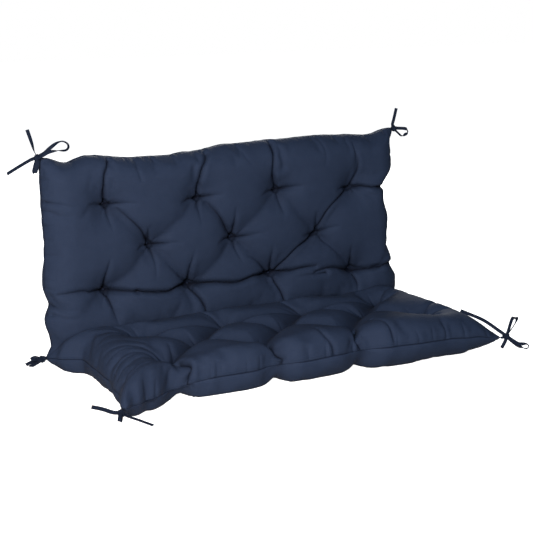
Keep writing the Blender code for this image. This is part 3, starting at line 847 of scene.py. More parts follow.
def smooth_run(points, steps):
    """Places on the even curve through the points, with a number of steps from each point to the
    next."""
    points = [np.array(point, float) for point in points]
    ends = [points[0] * 2 - points[1], *points, points[-1] * 2 - points[-2]]
    places = []
    for before, start, end, after in zip(ends, ends[1:], ends[2:], ends[3:]):
        for step in range(steps):
            t = step / steps
            bent = (before * 2 - start * 5 + end * 4 - after) * t**2
            bent += (start * 3 - before - end * 3 + after) * t**3
            places.append(start + ((end - before) * t + bent) / 2)
    return [*places, points[-1]]


def to_crease(across, along, points, reach):
    """Which places lie within reach of a crease and, for those, the way from it and the share along
    it."""
    line = np.array(smooth_run(points, CURVE_STEPS))
    low, high = line.min(axis=0) - reach, line.max(axis=0) + reach
    near = (across > low[0]) & (across < high[0]) & (along > low[1]) & (along < high[1])
    here = np.stack([across[near], along[near]], axis=-1)
    nearest = np.full(len(here), np.inf)
    offset = np.zeros_like(here)
    share = np.zeros(len(here))
    for number, (start, end) in enumerate(zip(line, line[1:])):
        run = end - start
        part = np.clip((here - start) @ run / (run @ run), 0, 1)
        away = here - start - part[:, None] * run
        distance = np.hypot(away[:, 0], away[:, 1])
        closer = distance < nearest
        nearest = np.where(closer, distance, nearest)
        offset = np.where(closer[:, None], away, offset)
        share = np.where(closer, (number + part) / (len(line) - 1), share)
    return near, offset, nearest, share


def crease_relief(across, along, creases):
    """How far the cloth rises and slides because of the creases, and the painted shade inside each one.
    """
    rise = np.zeros_like(across)
    slide = np.zeros(across.shape + (2,))
    painted_shade = np.zeros_like(across)
    for depth, half_width, at_start, at_end, points in creases:
        reach = half_width * RELIEF_REACH_IN_WIDTHS
        near, offset, distance, share = to_crease(across, along, points, reach)
        strength = depth * (at_start + (at_end - at_start) * share)
        widths = distance / half_width
        lips = LIP_SHARE * (widths / LIP_PLACE) ** 2 * np.exp(1 - (widths / LIP_PLACE) ** 2)
        rise[near] += strength * (lips - np.exp(-(widths**CREASE_SHARPNESS)))
        closing = np.clip((strength / half_width - CLOSES_FROM) / CLOSES_FROM, 0, 1)
        slide[near] -= offset * (closing * np.exp(-((distance / CLOSING_REACH) ** 2)))[:, None]
        # Painted shade: darker at the bottom of a crease that closes
        darkness = closing * np.minimum(1, strength / PAINTED_SHADE_DEPTH)
        darkness *= np.exp(-((distance / PAINTED_SHADE_REACH) ** 2))
        painted_shade[near] = np.maximum(painted_shade[near], darkness)
    return rise, slide, painted_shade


ALL_CREASES = CREASES + tuft_pleats() + seam_puckers()


def near_a_crease(across, along):
    """Which places lie so close to a narrow crease that the net has to be finer there."""
    found = np.zeros(across.shape, bool)
    for _, half_width, _, _, points in ALL_CREASES:
        if half_width < BROAD_FROM:
            reach = half_width * FINE_REACH_IN_WIDTHS
            near, _, distance, _ = to_crease(across, along, points, reach)
            found[near] |= distance < reach
    return found


# %% [markdown]
# ## The fine cover
#
# Now everything comes together on the fine net: the filled shape, the swelling, the creases, and a
# shallow groove at the seam, where the stitching pulls the rim in. The pattern coordinates are kept as
# the cover's UV map, in metres, so that the weave can follow the cloth. Painted shade in the creases, in
# the seam's groove, round the tufts and in the valleys between the puffs is kept as an attribute, which
# darkens the cover's colour there.

# %% Build the cover
COVER_ACROSS = lines_across(232)
COVER_ALONG = lines_along(208)
SEAM_SINK = 0.0022
NEXT_SINK = 0.0005
# Painted shade: in the seam's groove, round the tufts and in the valleys between the puffs
SEAM_PAINTED_SHADE = 0.75
TUFT_SHADE = 0.70
TUFT_SHADE_POWER = 3
VALLEY_SHADE = 0.50
DEEPEST_VALLEY = 0.022
RIM_STEP = 0.010
SLOPE_STEP = 0.001


def unit(vectors):
    return vectors / np.maximum(np.linalg.norm(vectors, axis=-1, keepdims=True), TINY)


def swollen_places(across, along, under):
    return cover_places(across, along, under) + swelling_at(across, along, under)


def surface_axes(across, along, under):
    """Unit steps across and along the cloth, and the direction out of its upper side."""
    step_across, step_along = (
        unit(swollen_places(across + x, along + y, under) - swollen_places(across - x, along - y, under))
        for x, y in ((SLOPE_STEP, 0), (0, SLOPE_STEP))
    )
    return step_across, step_along, unit(np.cross(step_across, step_along))


def rim_sinking(across, along, ring):
    """How the stitching pulls the rim and the line beside it inwards, between the two sides."""
    inner_across = np.clip(across, -WIDTH / 2 + RIM_STEP, WIDTH / 2 - RIM_STEP)
    inner_along = np.clip(along, -SEAT_RUN + RIM_STEP, BACK_RUN - RIM_STEP)
    inward = middle_layer(inner_across, inner_along) - middle_layer(across, along)
    sink = np.interp(ring, [0, 1, 2], [SEAM_SINK, NEXT_SINK, 0])
    return unit(inward) * sink[:, None]


def tuft_and_valley_shade(across, along):
    """Painted shade round the tufts and in the valleys between the puffs: how dark the cloth is made
    there.
    """
    near_tufts = TUFT_SHADE * tuft_pull(across, along) ** TUFT_SHADE_POWER
    in_valleys = VALLEY_SHADE * np.minimum(1, valley_depth(across, along) / DEEPEST_VALLEY) ** 2
    return 1 - (1 - near_tufts) * (1 - in_valleys)


def build_cover():
    cover, across, along, under, ring = sewn_net(
        "cushion_cover", COVER_ACROSS, COVER_ALONG, share_under=2, is_near=near_a_crease
    )
    places = swollen_places(across, along, under)
    rise, slide, painted_shade = crease_relief(across, along, ALL_CREASES)
    thickness = np.linalg.norm(places - middle_layer(across, along), axis=-1)
    rise = np.maximum(rise, -thickness * DEEPEST_FOLD)
    step_across, step_along, outward = surface_axes(across, along, under)
    creased = outward * rise[:, None] + step_across * slide[:, :1] + step_along * slide[:, 1:]
    places += np.where(under[:, None], 0, creased)
    places += rim_sinking(across, along, ring)
    places -= ORIGIN
    places[:, 2] = np.maximum(places[:, 2], 0)
    set_places(cover, places)
    add_pattern_map(cover, across, along)
    # Painted shade: the creases', the tufts' and the valleys' darkness, and the seam's groove, as one
    # mask for the finish
    painted_shade = 1 - (1 - np.where(under, 0, painted_shade)) * (1 - tuft_and_valley_shade(across, along))
    painted_shade = np.where(ring < ON_RIM, SEAM_PAINTED_SHADE, painted_shade)
    layer = cover.data.attributes.new("painted_shade", "FLOAT", "POINT")
    layer.data.foreach_set("value", painted_shade.astype(np.float32))
    return cover


def add_pattern_map(thing, across, along):
    """The pattern coordinates as a UV map in metres."""
    corner_points = np.empty(len(thing.data.loops), np.int32)
    thing.data.loops.foreach_get("vertex_index", corner_points)
    flat = np.stack([across[corner_points], along[corner_points]], axis=-1).astype(np.float32)
    thing.data.uv_layers.new(name="pattern").data.foreach_set("uv", flat.ravel())


cover = build_cover()
cover.data.calc_loop_triangles()
print("cover:", len(cover.data.loop_triangles), "triangles")

# %% [markdown]
# ## The bows
#
# Each tie is a flat tape tied in a bow. The runs are laid out as they show from the camera:
# millimetres to the right, up and away from the knot. A strip of faces follows each run, with its
# broad side turned as the table says, and Solidify gives it the thickness of the tape. The knot is
# a lump with two turns of tape round it.

# %% Table of the ties
TAPE_WIDTH = 0.010
TAPE_THICKNESS = 0.0016
KNOT_RADIUS = 0.0092
NECK_WIDTH = 0.006
VIEW_TURN = math.radians(-30.7)
VIEW_RISE = math.radians(13.4)

# Runs of tape: the directions of the broad side along the run, and places along it from the knot,
# as millimetres to the right, up and away Two tails, then two loops
TOP_LEFT_RUNS = [
    ("away right", [(-1, 4, 2), (-9, 20, 3), (-16, 42, 6), (-28, 77, 4)]),
    ("up up", [(-4, 0, -2), (-20, -6, 0), (-50, -22, 8), (-84, -42, 14)]),
    ("up up away away away up up", [
        (4, 4, -2), (20, 14, 2), (34, 27, 2), (52, 40, 0), (68, 45, 0), (81, 39, 0), (84, 29, 0),
        (76, 21, 0), (56, 20, -2), (34, 16, -6), (18, 7, -9), (4, 0, -6),
    ]),
    ("right right", [
        (-1, -4, -1), (-5, -20, -4), (-8, -36, -6), (-3, -39, -9), (2, -22, -11), (3, -4, -6),
    ]),
]
# One tail, then one loop
TOP_RIGHT_RUNS = [
    ("right right", [(-1, 4, 2), (-4, 14, 3), (0, 30, 3), (8, 65, 2)]),
    ("up up away up away away", [
        (4, 1, -2), (18, 1, -2), (36, 0, 0), (42, -4, 2), (44, -12, 4), (36, -18, 5), (26, -23, 4),
        (14, -14, 0), (3, -4, -4),
    ]),
]
# Two tails, then one loop
FRONT_LEFT_RUNS = [
    ("up up", [(-4, 0, 1), (-22, 0, 10), (-50, 5, 34), (-80, 8, 56)]),
    ("away away", [(4, -2, -1), (18, -8, -8), (46, -16, -18), (80, -27, -26)]),
    ("right right", [
        (-2, 1, -4), (-1, -1, -16), (0, -10, -34), (0, -15, -37), (1, -16, -32), (1, -8, -14),
        (1, -3, -4),
    ]),
]
# Two tails, then two loops
FRONT_RIGHT_RUNS = [
    ("up up", [(-3, 3, 2), (-20, 16, 12), (-62, 46, 38), (-122, 72, 72)]),
    ("right right", [(-1, -4, -2), (-4, -14, -4), (-15, -34, -6)]),
    ("right right right away away", [
        (1, 4, -3), (5, 18, -6), (10, 36, -8), (16, 51, -6), (24, 55, 1), (32, 51, 7), (27, 37, 9),
        (13, 16, 7), (3, 4, 3),
    ]),
    ("up up away away up up", [
        (4, -2, -4), (18, -12, -6), (34, -21, -5), (46, -22, -2), (58, -22, 0), (65, -29, 0),
        (58, -36, 0), (46, -32, 2), (34, -27, 5), (18, -15, 6), (4, -4, 4),
    ]),
]
# Two tails, then two loops
FOLD_RUNS = [
    ("right right", [(-4, -1, 0), (-18, -4, 10), (-46, -17, 26)]),
    ("right right", [(-1, -4, 0), (-12, -10, 12), (-36, -24, 28)]),
    ("up up", [(-4, 3, -2), (-14, 6, -8), (-22, 3, -12), (-24, 1, -17), (-16, 2, -18), (-4, 0, -4)]),
    ("up up", [(0, 3, -4), (5, 6, -9), (11, 6, -11), (15, 3, -9), (13, -1, -5), (4, -3, -2)]),
]
TIES = [
    # name, corner across, corner along, 1 or -1 where it is mirrored, knot from the corner, runs of tape
    ("tie_top_left", -0.600, 0.555, 1, (-2, -2, -13), TOP_LEFT_RUNS),
    ("tie_top_right", 0.600, 0.555, 1, (5, -6, -17), TOP_RIGHT_RUNS),
    ("tie_front_left", -0.600, -0.525, 1, (-5, -8, -3), FRONT_LEFT_RUNS),
    ("tie_front_right", 0.600, -0.525, 1, (14, 4, -3), FRONT_RIGHT_RUNS),
    ("tie_fold_left", -0.600, 0.000, 1, (-14, -1, -2), FOLD_RUNS),
    ("tie_fold_right", 0.600, 0.000, -1, (-14, -1, -2), FOLD_RUNS),
]

# %% Tapes and knots
TAPE_STEPS = 7
TAPE_COLUMNS = 4
TAPE_CUPPING = 0.0006
TAPE_TILT = 0.38
WRAP_RADIUS = 0.0098
WRAP_WIDTH = 0.0095
WRAP_STEPS = 28
WRAP_PINCH = 0.11
WRAPS = [
    # axis to the right, axis up, tilt
    (1, 0.3, 0.0),
    (-0.5, 1, 0.002),
]
CORE_SEGMENTS = (20, 14)
CORE_LUMPS = (0.06, 0.05)
LUMPS_PER_METRE = (900, 1100)
CLOSED_WITHIN = 1e-5
SHARP_FROM = math.radians(50)


def seen_axes():
    """The directions right, up and away of someone who looks at the cushion from the front left."""
    right = Vector((math.cos(VIEW_TURN), math.sin(VIEW_TURN), 0))
    level = Vector((-math.sin(VIEW_TURN), math.cos(VIEW_TURN), 0))
    away = level * math.cos(VIEW_RISE) - Vector((0, 0, math.sin(VIEW_RISE)))
    return {"right": np.array(right), "up": np.array(right.cross(away)), "away": np.array(away)}


def add_strip(places, broad_sides, width, closed=False):
    """A strip of faces along the places, slightly cupped, with the length along the tape as its UV
    map."""
    strip = bmesh.new()
    pattern = strip.loops.layers.uv.new("pattern")
    rows = len(places)
    bmesh.ops.create_grid(strip, x_segments=TAPE_COLUMNS, y_segments=rows - 1, size=0.5)
    steps = [np.linalg.norm(after - before) for before, after in zip(places, places[1:])]
    lengths = np.concatenate([[0], np.cumsum(steps)])
    for face in strip.faces:
        for corner in face.loops:
            row = round((corner.vert.co.y + 0.5) * (rows - 1))
            corner[pattern].uv = corner.vert.co.x * width, lengths[row]
    for vert in strip.verts:
        row = round((vert.co.y + 0.5) * (rows - 1))
        column = vert.co.x
        ahead, behind = min(row + 1, rows - 1), max(row - 1, 0)
        if closed:
            ahead, behind = (row + 1) % (rows - 1), (row - 1) % (rows - 1)
        along = unit(places[ahead] - places[behind])
        part_way = row / (rows - 1) * (len(broad_sides) - 1)
        passed = min(int(part_way), len(broad_sides) - 2)
        before, after = broad_sides[passed], broad_sides[passed + 1]
        broad = before + (after - before) * (part_way - passed)
        broad = unit(broad - along * (broad @ along))
        broad = unit(broad + np.cross(along, broad) * TAPE_TILT)
        lifted = np.cross(along, broad) * TAPE_CUPPING * (4 * column**2 - 0.5)
        vert.co = Vector(places[row] + broad * width * column + lifted)
        vert.co.z = max(vert.co.z, TAPE_THICKNESS)
    if closed:
        bmesh.ops.remove_doubles(strip, verts=strip.verts, dist=CLOSED_WITHIN)
    tape = add_smooth("tape", strip)
    solid = tape.modifiers.new("thickness", "SOLIDIFY")
    solid.thickness = TAPE_THICKNESS
    solid.offset = 0
    return tape, lengths[-1]


def wrap(centre, axis, start_side, tilt):
    """A band of tape wound once round the knot, pinched narrower on one side."""
    side = unit(start_side - axis * (start_side @ axis))
    other = np.cross(axis, side)
    places = []
    for step in range(WRAP_STEPS + 1):
        turn = math.tau * step / WRAP_STEPS
        radius = WRAP_RADIUS * (1 + WRAP_PINCH * math.cos(turn * 2))
        from_centre = (side * math.cos(turn) + other * math.sin(turn)) * radius
        places.append(centre + from_centre + axis * tilt * math.sin(turn))
    return add_strip(places, [axis, axis], WRAP_WIDTH, closed=True)


def add_core(centre):
    """What is inside the knot: the tape's layers pressed into a lump."""
    ball = bmesh.new()
    pattern = ball.loops.layers.uv.new("pattern")
    around, up = CORE_SEGMENTS
    bmesh.ops.create_uvsphere(ball, u_segments=around, v_segments=up, radius=KNOT_RADIUS)
    for vert in ball.verts:
        lump = 1 + CORE_LUMPS[0] * math.sin(vert.co.x * LUMPS_PER_METRE[0])
        vert.co *= lump + CORE_LUMPS[1] * math.sin(vert.co.z * LUMPS_PER_METRE[1] + 1)
    for face in ball.faces:
        for corner in face.loops:
            turn = math.atan2(corner.vert.co.y, corner.vert.co.x)
            corner[pattern].uv = turn * KNOT_RADIUS, corner.vert.co.z
    bmesh.ops.translate(ball, verts=ball.verts, vec=centre)
    return add_smooth("core", ball)


def made_plain(things, name):
    """The things, with their modifiers applied, as one mesh object."""
    graph = bpy.context.evaluated_depsgraph_get()
    joined = bmesh.new()
    for thing in things:
        mesh = bpy.data.meshes.new_from_object(thing.evaluated_get(graph), depsgraph=graph)
        joined.from_mesh(mesh)
        bpy.data.meshes.remove(mesh)
        bpy.data.objects.remove(thing, do_unlink=True)
    plain = add_smooth(name, joined)
    plain.data.set_sharp_from_angle(angle=SHARP_FROM)
    return plain


def neck_run(corner, centre, across, along):
    """The pinched tape from the seam to the knot: its places, and the direction of its broad side."""
    outward = np.array((math.copysign(1, across), 0.0, 0.0))
    broad = np.array((0.0, 0.0, 1.0))
    if along < 0:
        outward[1] = -1
    elif along > 0:
        outward[2] = 1
        broad = np.cross(outward, (0.0, 1.0, 0.0))
    outward = unit(outward)
    places = [centre, corner + outward * NECK_WIDTH, corner - outward * SEAM_SINK]
    return smooth_run(places, TAPE_STEPS), broad


def add_bow(name, across, along, mirror, knot_place, runs):
    """One bow as a single piece. Returns it and the length of its tape."""
    axes = {key: axis * np.array((mirror, 1, 1)) for key, axis in seen_axes().items()}

    def as_seen(place):
        return (axes["right"] * place[0] + axes["up"] * place[1] + axes["away"] * place[2]) / 1000

    corner = middle_layer(np.array([across]), np.array([along]))[0] - ORIGIN
    centre = corner + as_seen(knot_place)
    places, broad = neck_run(corner, centre, across, along)
    strips = [add_strip(places, [broad, broad], NECK_WIDTH)]
    for broad_sides, from_knot in runs:
        places = smooth_run([centre + as_seen(place) for place in from_knot], TAPE_STEPS)
        strips.append(add_strip(places, [axes[side] for side in broad_sides.split()], TAPE_WIDTH))
    for right, up, tilt in WRAPS:
        strips.append(wrap(centre, unit(axes["right"] * right + axes["up"] * up), axes["away"], tilt))
    length = sum(strip_length for _, strip_length in strips)
    bow = made_plain([add_core(centre), *[tape for tape, _ in strips]], name)
    return bow, length


bows = {}
for tie_name, *tie in TIES:
    bow, tape_length = add_bow(tie_name.replace("tie", "bow"), *tie)
    bows[tie_name] = (bow, tape_length)
    print(bow.name, "takes", round(tape_length, 3), "m of tape")


# %% [markdown]
# ## Threads
#
# The filling is held by short stitches of thread right through the cushion at every tuft, and by a
# row of stitches along the channel, which show on the rear side. Both repeat, so Geometry Nodes
# make them: one tree sets a bundle of short thread arcs on each point that it is given, facing the
# way that the point says.

# %% Helpers for nodes


def set_inputs(tree, node, inputs):
    """Links each of the node's inputs that are given to a socket, or sets it to a constant."""
    for name, value in inputs.items():
        if isinstance(value, bpy.types.NodeSocket):
            tree.links.new(value, node.inputs[name])
        else:
            node.inputs[name].default_value = value


def add_node(tree, kind, inputs=(), **settings):
    """A node with its settings and its inputs."""
    node = tree.nodes.new(kind)
    for name, value in settings.items():
        setattr(node, name, value)
    set_inputs(tree, node, dict(inputs))
    return node


def math_node(tree, operation, *values):
    return add_node(tree, "ShaderNodeMath", enumerate(values), operation=operation).outputs[0]


def new_tree(name, kind, inputs, outputs):
    """A node tree with its named inputs and outputs: the tree, the inputs' sockets, the output node."""
    tree = bpy.data.node_groups.new(name, kind)
    for direction, rows in (("INPUT", inputs), ("OUTPUT", outputs)):
        for label, socket_kind, *default in rows:
            socket = tree.interface.new_socket(
                label, in_out=direction, socket_type="NodeSocket" + socket_kind
            )
            if default:
                socket.default_value = default[0]
    return tree, tree.nodes.new("NodeGroupInput").outputs, tree.nodes.new("NodeGroupOutput")


# %% Thread stitches by Geometry Nodes
THREAD_RADIUS = 0.00045
THREAD_SIDES = 6
TACK_LENGTH = 0.0065
TACK_STRANDS = 3
TACK_SPREAD = 0.0012
TACK_TURN = 0.5
THREAD_SEED = 3
ARC_STEPS = 6
ARC_BULGE = 0.22


def stitch_tree():
    """Points with a vector `facing` and a vector `lie` in; thread stitches out, each a bundle of
    arcs."""
    inputs = [
        ("Points", "Geometry"),
        ("Stitch length", "Float", TACK_LENGTH),
        ("Thread radius", "Float", THREAD_RADIUS),
        ("Strands", "Int", TACK_STRANDS),
        ("Spread", "Float", TACK_SPREAD),
        ("Turn at most", "Float", TACK_TURN),
        ("Seed", "Int", THREAD_SEED),
        ("Material", "Material"),
    ]
    tree, given, result = new_tree(
        "thread_stitches", "GeometryNodeTree", inputs, [("Stitches", "Geometry")]
    )

    def made(kind, inputs=(), **settings):
        return add_node(tree, kind, inputs, **settings).outputs

    def in_length(axis, share):
        part = math_node(tree, "MULTIPLY", given["Stitch length"], share)
        return made("ShaderNodeCombineXYZ", {axis: part})[0]

    arc_inputs = {
        "Resolution": ARC_STEPS,
        "Start": in_length("X", -0.5),
        "Middle": in_length("Z", ARC_BULGE),
        "End": in_length("X", 0.5),
    }
    arc = made("GeometryNodeCurveQuadraticBezier", arc_inputs)
    profile = made(
        "GeometryNodeCurvePrimitiveCircle", {"Resolution": THREAD_SIDES, "Radius": given["Thread radius"]}
    )
    thread = made(
        "GeometryNodeCurveToMesh", {"Fill Caps": True, "Curve": arc[0], "Profile Curve": profile["Curve"]}
    )
    apart = made("ShaderNodeCombineXYZ", {"Y": given["Spread"]})
    line = made("GeometryNodeMeshLine", {"Count": given["Strands"], "Offset": apart[0]}, mode="OFFSET")
    strands = made("GeometryNodeInstanceOnPoints", {"Points": line["Mesh"], "Instance": thread["Mesh"]})
    bundle = made("GeometryNodeRealizeInstances", {"Geometry": strands["Instances"]})

    facing, lie = (
        made("GeometryNodeInputNamedAttribute", {"Name": name}, data_type="FLOAT_VECTOR")["Attribute"]
        for name in ("facing", "lie")
    )
    upright = made(
        "FunctionNodeAxesToRotation",
        {"Primary Axis": facing, "Secondary Axis": lie},
        primary_axis="Z",
        secondary_axis="X",
    )
    most = given["Turn at most"]
    least = math_node(tree, "MULTIPLY", most, -1)
    chance = made(
        "FunctionNodeRandomValue", {"Min": least, "Max": most, "Seed": given["Seed"]}, data_type="FLOAT"
    )
    spin = made("ShaderNodeCombineXYZ", {"Z": chance["Value"]})
    spun = made(
        "FunctionNodeRotateRotation",
        {"Rotation": upright["Rotation"], "Rotate By": spin[0]},
        rotation_space="LOCAL",
    )
    placed = made(
        "GeometryNodeInstanceOnPoints",
        {"Points": given["Points"], "Instance": bundle["Geometry"], "Rotation": spun["Rotation"]},
    )
    real = made("GeometryNodeRealizeInstances", {"Geometry": placed["Instances"]})
    finish = made(
        "GeometryNodeSetMaterial", {"Geometry": real["Geometry"], "Material": given["Material"]}
    )
    tree.links.new(finish["Geometry"], result.inputs["Stitches"])
    return tree


stitches = stitch_tree()


def add_stitches(name, points, facing, values):
    """Stitches that lie across the cushion on the points, with their values, made a plain mesh."""
    mesh = bpy.data.meshes.new(name)
    mesh.from_pydata([tuple(point) for point in points], [], [])
    lie = np.tile((1.0, 0.0, 0.0), (len(points), 1))
    for label, vectors in (("facing", facing), ("lie", lie)):
        layer = mesh.attributes.new(label, "FLOAT_VECTOR", "POINT")
        layer.data.foreach_set("vector", np.ascontiguousarray(vectors, np.float32).ravel())
    seeds = add_to_scene(name + "_points", mesh)
    modifier = seeds.modifiers.new("stitches", "NODES")
    modifier.node_group = stitches
    for item in stitches.interface.items_tree:
        if item.name in values:
            modifier[item.identifier] = values[item.name]
    graph = bpy.context.evaluated_depsgraph_get()
    plain = bpy.data.meshes.new_from_object(seeds.evaluated_get(graph), depsgraph=graph)
    plain.name = name
    plain.shade_smooth()
    bpy.data.objects.remove(seeds, do_unlink=True)
    return add_to_scene(name, plain)


# %% Where the stitches go
CHANNEL_STITCH_PITCH = 0.0085
CHANNEL_ENDS = 0.02
FIRST_STITCH = 0.012
# How far out from the cloth's formula the search for the cloth starts, and how far it goes
TACK_SEARCH = (0.05, 0.09)
CHANNEL_SEARCH = (0.03, 0.06)


def places_on_cloth(across, along, under, above, reach):
    """Points where the cloth is met from above these places, and the way out of it there."""
    surface = BVHTree.FromObject(cover, bpy.context.evaluated_depsgraph_get())
    outward = rising(along, under)
    start = cover_places(across, along, under) - ORIGIN + outward * above
    points, facing = [], []
    for place, direction in zip(start, outward):
        hit, _, _, _ = surface.ray_cast(Vector(place), Vector(-direction), reach)
        if hit is not None:
            points.append(np.array(hit))
            facing.append(direction)
    return points, facing


def tuft_places():
    """A point on the cloth at each tuft, on the upper side and, for the back, on its rear side."""
    sides = [
        (across, along, under)
        for across, along, _, _ in TUFTS
        for under in (False, True)
        if along > 0 or not under
    ]
    across, along, under = (np.array(column) for column in zip(*sides))
    return places_on_cloth(across, along, under, *TACK_SEARCH)


def channel_places():
    """Points along the channel on the rear side, a stitch pitch apart."""
    count = int((WIDTH - CHANNEL_ENDS) / CHANNEL_STITCH_PITCH)
    across = np.linspace(-WIDTH / 2 + FIRST_STITCH, WIDTH / 2 - FIRST_STITCH, count)
    return places_on_cloth(across, np.zeros(count), np.ones(count, bool), *CHANNEL_SEARCH)


# %% [markdown]
# ## Finishes
#
# The cover is outdoor polyester in a plain weave: matte, with almost no sheen, fine threads that are
# uneven in both directions, and small rumples between the folds. The weave is a node group, because the
# tapes and the thread have it too at other scales. It puts out a height, the threads' unevenness and the
# rumples, and each material mixes its own colours from them: painted light on the tops of the threads and
# painted shade between them, the threads' own uneven tone, and a lighter tone where the rumples rise.

# %% The weave as a node group
USUAL_THREADS = 1400.0
USUAL_RUMPLES = 30.0
SLUB_SCALES = [(900, 40, 1), (40, 900, 1)]
SLUB_DETAIL = 2.0
RUMPLE_DETAIL = 3.0


def weave_group():
    """Threads over and under each other. Height is the relief, Slub is the threads' unevenness
    along their length, and Rumple is the softness of the whole cloth."""
    inputs = [
        ("Pattern", "Vector"),
        ("Threads per metre", "Float", USUAL_THREADS),
        ("Rumples per metre", "Float", USUAL_RUMPLES),
    ]
    outputs = [("Height", "Float"), ("Slub", "Float"), ("Rumple", "Float")]
    group, given, result = new_tree("plain_weave", "ShaderNodeTree", inputs, outputs)
    pattern = given["Pattern"]

    def worked_out(operation, *values):
        return math_node(group, operation, *values)

    def wave(place):
        turn = worked_out("MULTIPLY", worked_out("MULTIPLY", place, given["Threads per metre"]), math.pi)
        return worked_out("SINE", turn)

    def slub(stretch):
        mapping = add_node(group, "ShaderNodeMapping", {"Scale": stretch, "Vector": pattern})
        inputs = {"Scale": 1.0, "Detail": SLUB_DETAIL, "Vector": mapping.outputs["Vector"]}
        return worked_out("MULTIPLY", add_node(group, "ShaderNodeTexNoise", inputs).outputs["Fac"], 0.5)

    split = add_node(group, "ShaderNodeSeparateXYZ", {0: pattern}).outputs
    warp, weft = wave(split["X"]), wave(split["Y"])
    lie = worked_out("MULTIPLY_ADD", worked_out("MULTIPLY", warp, weft), 0.5, 0.5)
    rise_warp = worked_out("MULTIPLY", worked_out("ABSOLUTE", warp), lie)
    rise_weft = worked_out("MULTIPLY", worked_out("ABSOLUTE", weft), worked_out("SUBTRACT", 1.0, lie))
    rumple = {"Detail": RUMPLE_DETAIL, "Vector": pattern, "Scale": given["Rumples per metre"]}
    made = {
        "Height": worked_out("MAXIMUM", rise_warp, rise_weft),
        "Slub": worked_out("ADD", *(slub(stretch) for stretch in SLUB_SCALES)),
        "Rumple": add_node(group, "ShaderNodeTexNoise", rumple).outputs["Fac"],
    }
    for name, value in made.items():
        group.links.new(value, result.inputs[name])
    return group


weave = weave_group()

# %% [markdown]
# The cover, the tapes and the thread differ only in numbers: the tape is woven more closely than
# the cover, and is a little darker and smoother. The sheen is even over each cloth, so it is set on
# the shader's own sockets.

# %% Woven materials
# Painted light and shade on the weave: how much of the lit colour comes with the threads' height, and
# where there is none
LIT_BY_HEIGHT = (0.7, -0.1)
# The cloth is lighter where the rumple noise rises: how much, and by what share of the lit colour at most
RUMPLE_LIGHTENING = (0.5, -0.12)
RUMPLE_LIGHTER_SHARES = (1.25, 1.25, 1.25)
# Painted shade: what is left of the deep colour where the mask of painted shade is full, in creases, the
# seam's groove, round the tufts and in the valleys
PAINTED_SHADE_SHARES = (0.04, 0.06, 0.12)
ROUGHNESS_SPREAD = 0.16
SHEEN_ROUGHNESS = 0.45
SHEEN_TINT = (0.62, 0.70, 0.95, 1)
SPECULAR_LEVEL = 0.05
SLUB_HEIGHT = 0.8
THREAD_RELIEF = 0.0003
RUMPLE_RELIEF = 0.004
RUMPLE_STRENGTH = 0.35


def mix_colour(tree, share, first, second):
    inputs = {"Factor": share, "A": first, "B": second}
    return add_node(tree, "ShaderNodeMix", inputs, data_type="RGBA").outputs["Result"]


def scaled(colour, shares):
    return (*(value * share for value, share in zip(colour, shares)), 1)


def woven(name, deep, lit, threads, rumples, roughness, sheen, relief, mapped=True):
    """A woven material: deep is the colour between the threads, lit is that on top of them, which paints
    light on the threads and shade between them. The cover's colour is also darkened by its attribute of
    painted shade. It follows the UV map of the pattern where the piece has one, and the piece's own
    coordinates where not."""
    material = bpy.data.materials.new(name)
    material.use_nodes = True
    tree = material.node_tree
    if mapped:
        pattern = add_node(tree, "ShaderNodeUVMap", uv_map="pattern").outputs["UV"]
    else:
        pattern = add_node(tree, "ShaderNodeTexCoord").outputs["Object"]
    cloth = tree.nodes.new("ShaderNodeGroup")
    cloth.node_tree = weave
    scales = {"Threads per metre": threads, "Rumples per metre": rumples, "Pattern": pattern}
    set_inputs(tree, cloth, scales)
    height, slub, rumple = (cloth.outputs[label] for label in ("Height", "Slub", "Rumple"))

    # Painted light on the threads' tops and painted shade between them, with the threads' own uneven tone
    uneven = math_node(tree, "ADD", math_node(tree, "MULTIPLY_ADD", height, *LIT_BY_HEIGHT), slub)
    colour = mix_colour(tree, uneven, deep, lit)
    # Lighter where the rumple noise rises
    lighter_on_rumples = math_node(tree, "MULTIPLY_ADD", rumple, *RUMPLE_LIGHTENING)
    colour = mix_colour(tree, lighter_on_rumples, colour, scaled(lit, RUMPLE_LIGHTER_SHARES))
    # Painted shade from the cover's mask: darker in creases, in the seam's groove, round the tufts and in
    # the valleys
    painted_shade = add_node(tree, "ShaderNodeAttribute", attribute_name="painted_shade").outputs["Fac"]
    colour = mix_colour(tree, painted_shade, colour, scaled(deep, PAINTED_SHADE_SHARES))
    least_rough = roughness - ROUGHNESS_SPREAD / 2
    broad = {"Strength": RUMPLE_STRENGTH, "Distance": RUMPLE_RELIEF, "Height": rumple}
    fine = {
        "Strength": relief,
        "Distance": THREAD_RELIEF,
        "Height": math_node(tree, "MULTIPLY_ADD", slub, SLUB_HEIGHT, height),
        "Normal": add_node(tree, "ShaderNodeBump", broad).outputs["Normal"],
    }
    finish = {
        "Base Color": colour,
        "Roughness": math_node(tree, "MULTIPLY_ADD", slub, ROUGHNESS_SPREAD, least_rough),
        "Sheen Weight": sheen,
        "Sheen Roughness": SHEEN_ROUGHNESS,
        "Sheen Tint": SHEEN_TINT,
        "Specular IOR Level": SPECULAR_LEVEL,
        "Normal": add_node(tree, "ShaderNodeBump", fine).outputs["Normal"],
    }
    set_inputs(tree, tree.nodes["Principled BSDF"], finish)
    return material


COVER_DEEP = (0.0030, 0.0080, 0.0225, 1)
COVER_LIT = (0.0125, 0.0195, 0.0380, 1)
TAPE_DEEP = (0.0015, 0.0035, 0.0095, 1)
TAPE_LIT = (0.0050, 0.0085, 0.0180, 1)
THREAD_DEEP = (0.005, 0.008, 0.020, 1)
THREAD_LIT = (0.014, 0.020, 0.040, 1)
